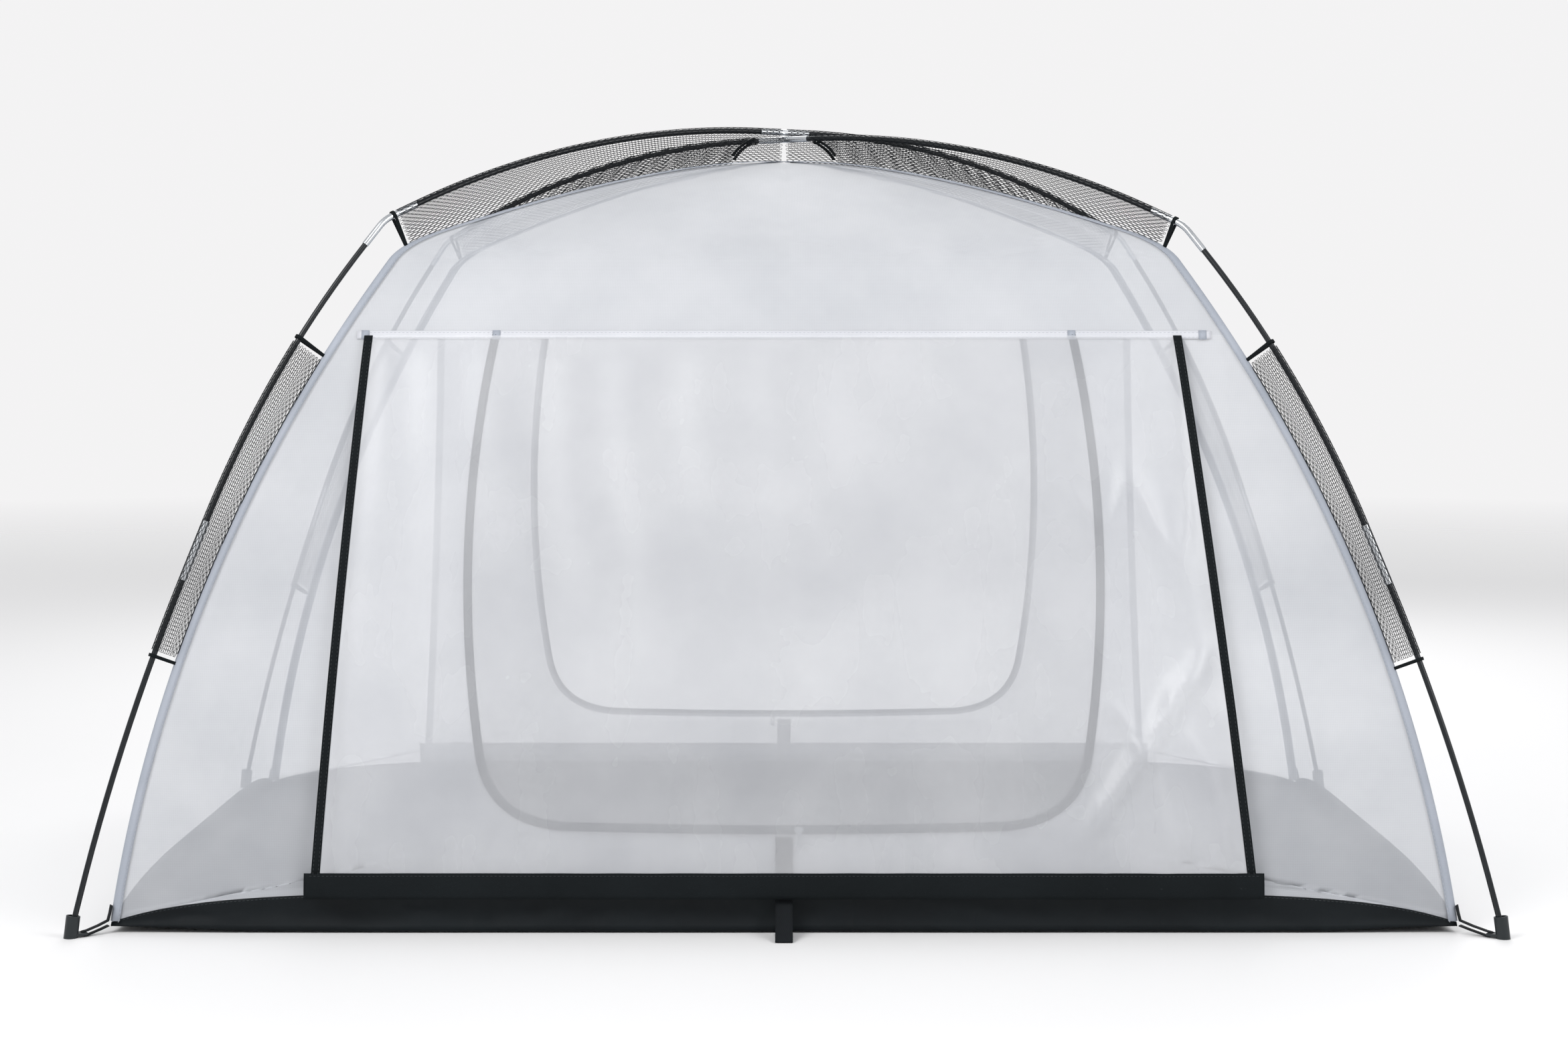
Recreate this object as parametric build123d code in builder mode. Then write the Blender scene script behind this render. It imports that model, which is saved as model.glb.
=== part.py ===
"""Low dome net tent: two crossed sectional arch poles carry a sheer tent by mesh sleeves.

Units are millimetres, +Z is up and the origin is on the ground under the apex. +X is to the
right seen from the front, so the front door faces -Y.
"""
from build123d import *
from collections import namedtuple
from math import cos, hypot, radians, sin
import os

os.makedirs("parts", exist_ok=True)

# Tent body
HALF_WIDTH = 1000.0
HALF_DEPTH = 650.0
DIAGONAL = hypot(HALF_WIDTH, HALF_DEPTH)
APEX = 1175.0
CLOTH = 2.0
SEAM_HEIGHT = 885.0

# Wall curve: share of the wall's reach from the centre, and height
WALL_PULL = (0.925, 540.0)
SHOULDER_LOW = (0.612, 1000.0)
SHOULDER_PULL = (0.595, 1025.0)
SHOULDER_HIGH = (0.54, 1046.0)
ROOF_PULL = 0.20

# Floor tub
TUB_HEIGHT = 58.0
TUB_CORNER = 16.0
TUB_RISE = 430.0
FLOOR = 2.0

# Poles
ROD_R = 4.25
ROD_BORE_R = 2.5
FERRULE_R = 5.2
FERRULE_BORE_R = 4.3
FERRULE = 95.0
ROD_GAP = 3.0
UPPER_POLE_HEIGHT = 1225.0
LOWER_POLE_HEIGHT = 1213.0
ROOF_ROD = 655.0
UPPER_ROOF_FLEX = 24.5
LOWER_ROOF_FLEX = 24.0
ELBOW_INNER = 45.0
ELBOW_OUTER = 38.0
ELBOW_R = 62.0
ELBOW_BEND = 25.0
MIDDLE_ROD = 495.0
MIDDLE_FLEX = 16.5
LOWER_ROD = 490.0
LOWER_FLEX = 8.5
TOE_CLEAR = 12.0
CORD_R = 1.2
KNOT_R = 2.9

# Foot caps
CUP_R = 10.3
CUP_BORE_R = 8.4
CUP_HEIGHT = 33.0
CUP_FLOOR = 4.5
CUP_LEAN = 8.0
CUP_SHIFT = 1.6
TONGUE_REACH = 25.0
TONGUE_WIDTH = 17.0
TONGUE_LOW = 2.6
TONGUE = 4.0
EYE_REACH = 18.5
EYE_WIDTH = 12.0
EYE_GAP = 4.4

# Sleeves
SLEEVE_R = 6.5
SLEEVE_BORE_R = 5.5
WEB = 1.2
WEB_START = 3.2
SLEEVE_DEPTH = 75.0
BINDING = 5.0
BINDING_WEB = 2.4
BINDING_R = 7.4
SLEEVE_TOP_SHARE = 0.37
SLEEVE_FOOT_SHARE = 0.24
ARCH_HALF_WIDTH = 105.0
ARCH_RISE = 55.0
ARCH_BASE = 1165.0
ARCH_CLEAR = 30.0

# Doors, curtains and tapes
DOOR_TOP_HALF = 442.0
DOOR_FOOT_HALF = 478.0
DOOR_BOTTOM = 152.0
DOOR_CORNER_R = 100.0
DOOR_GAP = 1.0
DOOR_TOP_GAP = 3.0
ZIP_WIDTH = 13.0
TAPE_IN = 0.3
TAPE_OUT = 1.5
RIDGE_TAPE = 17.0
SEAM_TAPE = 12.0
SEAM_TAPE_HALF = 655.0
RIDGE_TAPE_LOW = 18.0
RIDGE_TAPE_END = 17.0
RIDGE_TAPE_IN = 0.6
RIDGE_TAPE_OUT = 1.8
CURTAIN_IN = 3.0
CURTAIN_OUT = 4.6
CURTAIN_FLARE = 12.0
CURTAIN_TOP_HALF = 643.0
CURTAIN_HEM_HALF = 702.0
CURTAIN_HEM_LOW = 53.0
CURTAIN_HEM = 38.0
CURTAIN_TAPE = 13.0
HEM_EAR = 8.0
STRAP_WIDTH = 26.0
STRAP_TOP = 141.0
STRAP_LEAVES = 46.0
STRAP = 1.4
STRAP_LIFT = 0.2
LOOP_REACH = 66.0
LOOP_TOE = 8.0
LOOP_BEND_R = 2.8
CORNER_STRAP_WIDTH = 10.0
CORNER_STRAP_TOP = 42.0
CORNER_STRAP_LEAVES = 19.0
CORNER_STRAP_BACK = 12.0
CORNER_STRAP_OVER = 0.9
CORNER_STRAP_RISE = 0.7
CORNER_STRAP_UNDER = 1.1
CORNER_BEND_R = 0.9
SLIDER_LENGTH = 14.0
SLIDER_WIDTH = 9.0
SLIDER_RISE = 4.6
BRIDGE_LENGTH = 8.4
BRIDGE_WIDTH = 3.6
PULL_LENGTH = 26.0
PULL_WIDTH = 7.0
PULL = 1.2
PULL_CORNER_R = 2.8
PULL_SLOT_LENGTH = 10.4
PULL_SLOT_WIDTH = 2.8
PULL_SLOT_DROP = 16.1
SLIDER_LEAN = 7.6
SLIDER_SEAT = 634.8
SLIDER_START = 22.0

UP = Vector(0, 0, 1)
SKY = 1300.0

Side = namedtuple("Side", "name direction reach span")
FRONT = Side("front", Vector(0, -1, 0), HALF_DEPTH, HALF_WIDTH)
REAR = Side("rear", Vector(0, 1, 0), HALF_DEPTH, HALF_WIDTH)
LEFT = Side("left", Vector(-1, 0, 0), HALF_WIDTH, HALF_DEPTH)
RIGHT = Side("right", Vector(1, 0, 0), HALF_WIDTH, HALF_DEPTH)
SIDES = (FRONT, REAR, LEFT, RIGHT)

CORNERS = {
    "front_left": Vector(-HALF_WIDTH, -HALF_DEPTH, 0).normalized(),
    "rear_right": Vector(HALF_WIDTH, HALF_DEPTH, 0).normalized(),
    "front_right": Vector(HALF_WIDTH, -HALF_DEPTH, 0).normalized(),
    "rear_left": Vector(-HALF_WIDTH, HALF_DEPTH, 0).normalized(),
}
UPPER_POLE = ("front_left", "rear_right")
LOWER_POLE = ("front_right", "rear_left")


def save(piece, label):
    """Label a finished piece and write it as a STEP file."""
    piece.part.label = label
    export_step(piece.part, f"parts/{label}.step")


def upright(direction):
    """Vertical plane through the apex line, with its own X pointing outwards."""
    return Plane(origin=(0, 0, 0), x_dir=direction, z_dir=direction.cross(UP))


def elevation(side):
    """Vertical plane through the apex line that faces a side, seen from outside."""
    return Plane(origin=(0, 0, 0), x_dir=UP.cross(side.direction), z_dir=side.direction)


# ---------------------------------------------------------------- tent surfaces
def wall_curve(reach, offset, flare=0.0):
    """Draw a side from the ground to the apex, pushed outwards by an offset."""
    wall = Bezier(
        (reach + offset + flare, 0),
        (reach * WALL_PULL[0] + offset + flare / 2, WALL_PULL[1]),
        (reach * SHOULDER_LOW[0] + offset, SHOULDER_LOW[1]),
    )
    shoulder = Bezier(
        wall @ 1,
        (reach * SHOULDER_PULL[0] + offset, SHOULDER_PULL[1] + offset),
        (reach * SHOULDER_HIGH[0], SHOULDER_HIGH[1] + offset),
    )
    roof = Bezier(
        shoulder @ 1,
        (reach * ROOF_PULL, APEX + offset),
        (0, APEX + offset),
    )
    return wall @ 0, roof @ 1


def wall_skin(side, inner, outer, flare=0.0):
    """One side of the tent between two offsets, mitred on the corner planes."""
    with BuildPart() as skin:
        with BuildSketch(upright(side.direction)):
            with BuildLine():
                outer_foot, outer_top = wall_curve(side.reach, outer, flare)
                inner_foot, inner_top = wall_curve(side.reach, inner, flare)
                Line(outer_foot, inner_foot)
                Line(outer_top, inner_top)
            make_face()
        extrude(amount=side.span * 1.1, both=True)
        with BuildSketch(Plane.XY.offset(-1)):
            with BuildLine():
                outwards = side.direction * side.reach * 1.1
                along = UP.cross(side.direction) * side.span * 1.1
                Polyline((0, 0), outwards + along, outwards - along, close=True)
            make_face()
        extrude(amount=SKY, mode=Mode.INTERSECT)
    return skin.part


def tub_zone(side):
    """The space under the tub's top edge, which dips to the corners."""
    with BuildPart() as zone:
        with BuildSketch(elevation(side)):
            with BuildLine():
                edge = Line((0, TUB_HEIGHT), (side.span - TUB_RISE, TUB_HEIGHT))
                dip = Bezier(
                    edge @ 1,
                    (side.span - TUB_RISE / 4, TUB_HEIGHT),
                    (side.span, TUB_CORNER),
                )
                Polyline(
                    dip @ 1,
                    (side.span * 1.1, TUB_CORNER),
                    (side.span * 1.1, -CLOTH),
                    (0, -CLOTH),
                )
                mirror(about=Plane.YZ)
            make_face()
        extrude(amount=side.reach * 1.1)
    return zone.part


skins = {side.name: wall_skin(side, -CLOTH, 0) for side in SIDES}
zones = {side.name: tub_zone(side) for side in SIDES}


def tub_wall(side):
    """The strip of a side's skin that belongs to the floor tub."""
    with BuildPart() as wall:
        add(skins[side.name])
        add(zones[side.name], mode=Mode.INTERSECT)
    return wall.part


tub_walls = [tub_wall(side) for side in SIDES]
with BuildPart() as floor_tub:
    with BuildSketch():
        Rectangle(2 * HALF_WIDTH - CLOTH, 2 * HALF_DEPTH - CLOTH)
    extrude(amount=FLOOR)
    add(tub_walls)
save(floor_tub, "floor_tub")


def door_prism(side, grow, top):
    """The U-shaped door, grown by an amount, as a solid that runs out through a wall."""
    with BuildPart() as prism:
        with BuildSketch(elevation(side)) as outline:
            Polygon(
                (-DOOR_TOP_HALF - grow, top),
                (-DOOR_FOOT_HALF - grow, DOOR_BOTTOM - grow),
                (DOOR_FOOT_HALF + grow, DOOR_BOTTOM - grow),
                (DOOR_TOP_HALF + grow, top),
                align=None,
            )
            fillet(outline.vertices().group_by(Axis.Y)[0], DOOR_CORNER_R + grow)
        extrude(amount=side.reach * 1.1)
    return prism.part


def band_zone(side, width, low, high):
    """An upright block that keeps the stretch of a wall between two heights."""
    with BuildPart() as zone:
        with BuildSketch(elevation(side)):
            with Locations((0, (low + high) / 2)):
                Rectangle(width, high - low)
        extrude(amount=side.reach * 1.2)
    return zone.part


tapes = {side.name: wall_skin(side, TAPE_IN, TAPE_OUT) for side in (FRONT, REAR)}


def tape_strip(side, width, low, high):
    """A strip of tape laid on the outside of a wall between two heights."""
    with BuildPart() as strip:
        add(tapes[side.name])
        add(band_zone(side, width, low, high), mode=Mode.INTERSECT)
    return strip.part


def long_side(side):
    """Make the panels, door, zip and seam tape of a long side."""
    hole = door_prism(side, 0, SEAM_HEIGHT)
    leaf = door_prism(side, -DOOR_GAP, SEAM_HEIGHT - DOOR_TOP_GAP)
    zip_outer = door_prism(side, ZIP_WIDTH / 2, SEAM_HEIGHT - SEAM_TAPE / 2)
    zip_inner = door_prism(side, -ZIP_WIDTH / 2, SEAM_HEIGHT)
    below = band_zone(side, side.span * 2.2, -CLOTH, SEAM_HEIGHT)

    with BuildPart() as lower_panel:
        add(skins[side.name])
        add(below, mode=Mode.INTERSECT)
        add(zones[side.name], mode=Mode.SUBTRACT)
        add(hole, mode=Mode.SUBTRACT)
    save(lower_panel, f"{side.name}_lower_panel")

    with BuildPart() as upper_panel:
        add(skins[side.name])
        add(below, mode=Mode.SUBTRACT)
    save(upper_panel, f"{side.name}_upper_panel")

    with BuildPart() as door:
        add(skins[side.name])
        add(leaf, mode=Mode.INTERSECT)
    save(door, f"{side.name}_door")

    with BuildPart() as door_zip:
        add(tapes[side.name])
        add(zip_outer, mode=Mode.INTERSECT)
        add(zip_inner, mode=Mode.SUBTRACT)
    save(door_zip, f"{side.name}_door_zip")

    seam_low = SEAM_HEIGHT - SEAM_TAPE / 2
    with BuildPart() as seam_tape:
        add(tape_strip(side, 2 * SEAM_TAPE_HALF, seam_low, seam_low + SEAM_TAPE))
    save(seam_tape, f"{side.name}_seam_tape")


def curtain(side):
    """Make a curtain's sheer net, and the border of side tapes and hem round it."""
    hanging = wall_skin(side, CURTAIN_IN, CURTAIN_OUT, CURTAIN_FLARE)
    top = SEAM_HEIGHT - 1
    hem_top = CURTAIN_HEM_LOW + CURTAIN_HEM
    net_corners = (
        (-CURTAIN_TOP_HALF + CURTAIN_TAPE, top),
        (-CURTAIN_HEM_HALF + CURTAIN_TAPE, hem_top),
        (CURTAIN_HEM_HALF - CURTAIN_TAPE, hem_top),
        (CURTAIN_TOP_HALF - CURTAIN_TAPE, top),
    )

    with BuildPart() as net:
        add(hanging)
        with BuildSketch(elevation(side)):
            Polygon(*net_corners, align=None)
        extrude(amount=side.reach * 1.2, mode=Mode.INTERSECT)
    save(net, f"{side.name}_curtain_net")

    with BuildPart() as border:
        add(hanging)
        with BuildSketch(elevation(side)):
            Polygon(
                (-CURTAIN_TOP_HALF, top),
                (-CURTAIN_HEM_HALF, CURTAIN_HEM_LOW),
                (CURTAIN_HEM_HALF, CURTAIN_HEM_LOW),
                (CURTAIN_TOP_HALF, top),
                align=None,
            )
            with Locations((0, CURTAIN_HEM_LOW + CURTAIN_HEM / 2)):
                Rectangle(2 * (CURTAIN_HEM_HALF + HEM_EAR), CURTAIN_HEM)
            Polygon(*net_corners, align=None, mode=Mode.SUBTRACT)
        extrude(amount=side.reach * 1.2, mode=Mode.INTERSECT)
    save(border, f"{side.name}_curtain_border")


for side in (FRONT, REAR):
    long_side(side)
    curtain(side)

for side in (LEFT, RIGHT):
    with BuildPart() as side_wall:
        add(skins[side.name])
        add(zones[side.name], mode=Mode.SUBTRACT)
    save(side_wall, f"{side.name}_wall")


# ---------------------------------------------------------------- ridge tapes
def ridge_tape(corner):
    """The tape laid over the seam between two sides, from the floor to the apex."""
    with BuildPart() as tape:
        with BuildSketch(upright(CORNERS[corner])):
            with BuildLine():
                outer_foot, outer_top = wall_curve(DIAGONAL, RIDGE_TAPE_OUT)
                inner_foot, inner_top = wall_curve(DIAGONAL, RIDGE_TAPE_IN)
                Line(outer_foot, inner_foot)
                Line(outer_top, inner_top)
            make_face()
            with Locations((RIDGE_TAPE_END, RIDGE_TAPE_LOW)):
                Rectangle(DIAGONAL, SKY, align=(Align.MIN, Align.MIN), mode=Mode.INTERSECT)
        extrude(amount=RIDGE_TAPE / 2, both=True)
    return tape.part


corner_tapes = [ridge_tape(corner) for corner in CORNERS]
with BuildPart() as ridge_tapes:
    add(corner_tapes)
save(ridge_tapes, "ridge_tapes")


# ---------------------------------------------------------------- poles
Leg = namedtuple("Leg", "top roof inner bend outer middle ferrule lower toe knot")


def straight(start, heading, length):
    """Draw a straight stretch on from a point."""
    return Line(start, start + heading * length)


def flexed(start, heading, length, turn):
    """Draw a rod's curve on from a point, bent evenly by a turn in degrees."""
    return JernArc(start, heading, length / radians(turn), -turn)


def leg_curve(corner, height, roof_flex):
    """A pole's centre line from the apex down to one foot, stretch by stretch."""
    with BuildLine(upright(CORNERS[corner])):
        top = Line((0, height), (FERRULE / 2, height))
        roof = flexed(top @ 1, top % 1, ROOF_ROD, roof_flex)
        inner = straight(roof @ 1, roof % 1, ELBOW_INNER)
        bend = JernArc(inner @ 1, inner % 1, ELBOW_R, -ELBOW_BEND)
        outer = straight(bend @ 1, bend % 1, ELBOW_OUTER)
        middle = flexed(outer @ 1, outer % 1, MIDDLE_ROD, MIDDLE_FLEX)
        ferrule = straight(middle @ 1, middle % 1, FERRULE)
        lower = flexed(ferrule @ 1, ferrule % 1, LOWER_ROD, LOWER_FLEX)
        toe = straight(lower @ 1, lower % 1, (lower @ 1).Z / -(lower % 1).Z - TOE_CLEAR)
        knot = straight(toe @ 1, toe % 1, TOE_CLEAR / 3)
    return Leg(top, roof, inner, bend, outer, middle, ferrule, lower, toe, knot)


legs = {corner: leg_curve(corner, UPPER_POLE_HEIGHT, UPPER_ROOF_FLEX) for corner in UPPER_POLE}
for corner in LOWER_POLE:
    legs[corner] = leg_curve(corner, LOWER_POLE_HEIGHT, LOWER_ROOF_FLEX)


def tube(stretches, outer, bore=0.0):
    """A round tube, or a bar without a bore, along stretches of a pole's centre line."""
    path = Wire(stretches)
    heading = path % 0
    outer_side = heading.cross(UP).cross(heading)
    with BuildPart() as swept:
        with BuildSketch(Plane(origin=path @ 0, x_dir=outer_side, z_dir=heading)):
            Circle(outer)
            if bore:
                Circle(bore, mode=Mode.SUBTRACT)
        sweep(path=path)
    return swept.part


def short_of(stretch, gap, at_end):
    """A straight stretch, cut short by a gap at its end or at its start."""
    share = gap / stretch.length
    return stretch.trim(0, 1 - share) if at_end else stretch.trim(share, 1)


def pole_leg(corner):
    """Make the rods and ferrules of one leg, from the apex to the foot."""
    leg = legs[corner]
    roof_path = (short_of(leg.top, ROD_GAP / 2, False), leg.roof, short_of(leg.inner, ROD_GAP, True))
    with BuildPart() as roof_rod:
        add(tube(roof_path, ROD_R, ROD_BORE_R))
    save(roof_rod, f"{corner}_roof_rod")

    with BuildPart() as elbow:
        add(tube((leg.inner, leg.bend, leg.outer), FERRULE_R, FERRULE_BORE_R))
    save(elbow, f"{corner}_elbow")

    upper_socket = leg.ferrule.trim(0, 0.5)
    lower_socket = leg.ferrule.trim(0.5, 1)
    middle_path = (
        short_of(leg.outer, ROD_GAP, False),
        leg.middle,
        short_of(upper_socket, ROD_GAP / 2, True),
    )
    with BuildPart() as middle_rod:
        add(tube(middle_path, ROD_R, ROD_BORE_R))
    save(middle_rod, f"{corner}_middle_rod")

    with BuildPart() as ferrule:
        add(tube((leg.ferrule,), FERRULE_R, FERRULE_BORE_R))
    save(ferrule, f"{corner}_ferrule")

    lower_path = (short_of(lower_socket, ROD_GAP / 2, False), leg.lower, leg.toe)
    with BuildPart() as lower_rod:
        add(tube(lower_path, ROD_R, ROD_BORE_R))
    save(lower_rod, f"{corner}_lower_rod")


for corner in legs:
    pole_leg(corner)

for name, corners in (("upper", UPPER_POLE), ("lower", LOWER_POLE)):
    with BuildPart() as top_ferrule:
        for corner in corners:
            add(tube((legs[corner].top,), FERRULE_R, FERRULE_BORE_R))
    save(top_ferrule, f"{name}_pole_top_ferrule")

    with BuildPart() as shock_cord:
        for corner in corners:
            add(tube(legs[corner], CORD_R))
            with Locations(legs[corner].knot @ 1):
                Sphere(KNOT_R)
    save(shock_cord, f"{name}_pole_shock_cord")


# ---------------------------------------------------------------- foot caps
def foot_point(leg):
    """The point on the ground where a pole's centre line would land."""
    end = leg.knot @ 1
    heading = leg.knot % 1
    return end - heading * (end.Z / heading.Z)


for corner, leg in legs.items():
    outwards = CORNERS[corner]
    foot = foot_point(leg)
    cup_axis = UP * cos(radians(CUP_LEAN)) - outwards * sin(radians(CUP_LEAN))
    cup_plane = Plane(
        origin=foot - outwards * CUP_SHIFT, x_dir=outwards.cross(UP), z_dir=cup_axis
    )
    tongue_plane = Plane(origin=(foot.X, foot.Y, TONGUE_LOW), x_dir=-outwards, z_dir=UP)

    with BuildPart() as foot_cap:
        with BuildSketch(cup_plane.offset(-CUP_FLOOR)):
            Circle(CUP_R)
        extrude(amount=CUP_HEIGHT + CUP_FLOOR)
        rim = foot_cap.edges().group_by(Axis.Z)[-1]
        fillet(rim, 0.7)
        with BuildSketch(tongue_plane):
            with Locations((TONGUE_REACH / 2, 0)):
                Rectangle(TONGUE_REACH, TONGUE_WIDTH)
        extrude(amount=TONGUE)
        with BuildSketch(cup_plane.offset(CUP_FLOOR)):
            Circle(CUP_BORE_R)
        extrude(amount=CUP_HEIGHT, mode=Mode.SUBTRACT)
        with BuildSketch(tongue_plane):
            with Locations((EYE_REACH, 0)):
                RectangleRounded(EYE_GAP, EYE_WIDTH, 1.2)
        extrude(amount=TONGUE, mode=Mode.SUBTRACT)
        split(bisect_by=Plane.XY, keep=Keep.TOP)
    save(foot_cap, f"{corner}_foot_cap")


# ---------------------------------------------------------------- sleeves
def cut_zone(corner, near, far):
    """The space between two cuts across the pole, each a point and a heading on it."""
    plane = upright(CORNERS[corner])
    edges = []
    for point, heading in (near, far):
        inwards = heading.cross(plane.z_dir)
        outer = plane.to_local_coords(point - inwards * SLEEVE_DEPTH)
        inner = plane.to_local_coords(point + inwards * SLEEVE_DEPTH)
        edges.append((outer, inner))
    with BuildPart() as zone:
        with BuildSketch(plane):
            with BuildLine():
                Polyline(edges[0][0], edges[0][1], edges[1][1], edges[1][0], close=True)
            make_face()
        extrude(amount=2 * SLEEVE_R, both=True)
    return zone.part


def web_plate(corner, thickness):
    """The flat web between the corner seam and the pole's centre line."""
    plane = upright(CORNERS[corner])
    curve = [plane.to_local_coords(stretch) for stretch in legs[corner]]
    with BuildPart() as plate:
        with BuildSketch(plane):
            with BuildLine():
                add(curve)
                Polyline(curve[-1] @ 1, ((curve[-1] @ 1).X, 0), (0, 0), curve[0] @ 0)
            make_face()
            with BuildLine():
                foot, top = wall_curve(DIAGONAL, WEB_START)
                Polyline(foot, (0, 0), top)
            make_face(mode=Mode.SUBTRACT)
        extrude(amount=thickness / 2, both=True)
    return plate.part


def arch_prism(corner):
    """The arched opening that both sleeves leave under the crossing."""
    with BuildPart() as arch:
        with BuildSketch(upright(CORNERS[corner])):
            with Locations((0, ARCH_BASE)):
                Ellipse(ARCH_HALF_WIDTH, ARCH_RISE)
        extrude(amount=2 * SLEEVE_R, both=True)
    return arch.part


webs = {corner: web_plate(corner, WEB) for corner in legs}
binding_webs = {corner: web_plate(corner, BINDING_WEB) for corner in legs}


def sleeve_run(corner, plate, stretches, near, far, radius, arched):
    """A sleeve's web and rod channel between two cuts, open at the arch if asked."""
    with BuildPart() as run:
        add(plate)
        if arched:
            add(arch_prism(corner), mode=Mode.SUBTRACT)
        add(tube(stretches, radius))
        add(tube(stretches, SLEEVE_BORE_R), mode=Mode.SUBTRACT)
        add(cut_zone(corner, near, far), mode=Mode.INTERSECT)
    return run.part


def pole_cut(stretch, share, shift=0.0):
    """A cut across the pole at a share of a stretch, moved along it by a distance."""
    share += shift / stretch.length
    return stretch @ share, stretch % share


bindings = []
for corner, leg in legs.items():
    covered = (leg.middle, leg.ferrule, leg.lower)
    top_share = (leg.middle, SLEEVE_TOP_SHARE)
    foot_share = (leg.lower, SLEEVE_FOOT_SHARE)
    run = sleeve_run(
        corner, webs[corner], covered, pole_cut(*top_share), pole_cut(*foot_share), SLEEVE_R, False
    )
    with BuildPart() as lower_sleeve:
        add(run)
    save(lower_sleeve, f"{corner}_lower_sleeve")

    plate = binding_webs[corner]
    ends = (
        (covered, pole_cut(*top_share, -BINDING), pole_cut(*top_share)),
        (covered, pole_cut(*foot_share), pole_cut(*foot_share, BINDING)),
        ((leg.roof, leg.inner), pole_cut(leg.inner, 1, -BINDING), pole_cut(leg.inner, 1)),
    )
    for stretches, near, far in ends:
        bindings.append(sleeve_run(corner, plate, stretches, near, far, BINDING_R, False))

with BuildPart() as sleeve_bindings:
    add(bindings)
save(sleeve_bindings, "sleeve_bindings")

roof_runs = {}
for corner, leg in legs.items():
    covered = (leg.top, leg.roof, leg.inner) if corner in UPPER_POLE else (leg.roof, leg.inner)
    crossing = pole_cut(covered[0], 0, 0 if corner in UPPER_POLE else ARCH_CLEAR)
    outer_end = pole_cut(leg.inner, 1, -BINDING)
    roof_runs[corner] = sleeve_run(
        corner, webs[corner], covered, crossing, outer_end, SLEEVE_R, True
    )

with BuildPart() as upper_pole_roof_sleeve:
    for corner in UPPER_POLE:
        add(roof_runs[corner])
save(upper_pole_roof_sleeve, "upper_pole_roof_sleeve")

for corner in LOWER_POLE:
    with BuildPart() as roof_sleeve:
        add(roof_runs[corner])
    save(roof_sleeve, f"{corner}_roof_sleeve")


# ---------------------------------------------------------------- straps
corner_loops = []
for corner, leg in legs.items():
    plane = upright(CORNERS[corner])
    foot_reach = plane.to_local_coords(foot_point(leg)).X
    eye = foot_reach - EYE_REACH
    tip = foot_reach - TONGUE_REACH
    over = TONGUE_LOW + TONGUE + CORNER_STRAP_OVER
    under = TONGUE_LOW - CORNER_STRAP_UNDER
    with BuildPart() as loop:
        with BuildSketch(plane):
            with BuildLine():
                FilletPolyline(
                    (DIAGONAL - 3.4, CORNER_STRAP_TOP),
                    (DIAGONAL + 2.6, CORNER_STRAP_LEAVES),
                    (tip - 1, over + CORNER_STRAP_RISE),
                    (eye, over),
                    (eye, under),
                    (tip - 1, under),
                    (DIAGONAL + 1.6, CORNER_STRAP_BACK),
                    radius=CORNER_BEND_R,
                )
            trace(line_width=STRAP)
        extrude(amount=CORNER_STRAP_WIDTH / 2, both=True)
    corner_loops.append(loop.part)

with BuildPart() as corner_straps:
    add(corner_loops)
save(corner_straps, "corner_straps")

for side in (FRONT, REAR):
    sewn = tape_strip(side, STRAP_WIDTH, STRAP_LEAVES, STRAP_TOP)
    ground = STRAP / 2 + STRAP_LIFT
    with BuildPart() as centre_strap:
        with BuildSketch(upright(side.direction)):
            with BuildLine():
                FilletPolyline(
                    (side.reach - 3.8, STRAP_LEAVES + 4),
                    (side.reach + LOOP_REACH + LOOP_TOE, ground),
                    (side.reach + 0.9, ground),
                    radius=LOOP_BEND_R,
                )
            trace(line_width=STRAP)
        extrude(amount=STRAP_WIDTH / 2, both=True)
        add(sewn)
    save(centre_strap, f"{side.name}_centre_strap")

    lean = radians(SLIDER_LEAN)
    outwards = side.direction * cos(lean) + UP * sin(lean)
    along = UP.cross(side.direction)
    seat = side.direction * SLIDER_SEAT + along * SLIDER_START + UP * DOOR_BOTTOM
    slider_plane = Plane(origin=seat, x_dir=along, z_dir=outwards)
    with BuildPart() as zip_slider:
        with BuildSketch(slider_plane):
            SlotOverall(SLIDER_LENGTH, SLIDER_WIDTH)
        extrude(amount=SLIDER_RISE / 2)
        with BuildSketch(slider_plane):
            SlotOverall(BRIDGE_LENGTH, BRIDGE_WIDTH)
        extrude(amount=SLIDER_RISE)
        with BuildSketch(slider_plane.offset(SLIDER_RISE - PULL)):
            with Locations((0, -PULL_LENGTH / 2)):
                RectangleRounded(PULL_WIDTH, PULL_LENGTH, PULL_CORNER_R)
            with Locations((0, -PULL_SLOT_DROP)):
                SlotOverall(PULL_SLOT_LENGTH, PULL_SLOT_WIDTH, rotation=90, mode=Mode.SUBTRACT)
        extrude(amount=PULL)
    save(zip_slider, f"{side.name}_zip_slider")
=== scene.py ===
"""Low dome net tent: the visual model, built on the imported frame.

Everything is in metres, +Z is up and the front door faces -Y. Sheer panels, tapes, the tub
and the pole sleeves are made here; rods, ferrules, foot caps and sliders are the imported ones,
dressed with their own finishes.
"""
import logging
import math
from dataclasses import dataclass, field
from enum import Enum
from typing import Any, Iterable, Sequence

import bmesh
import bpy
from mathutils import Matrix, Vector, noise


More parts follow.
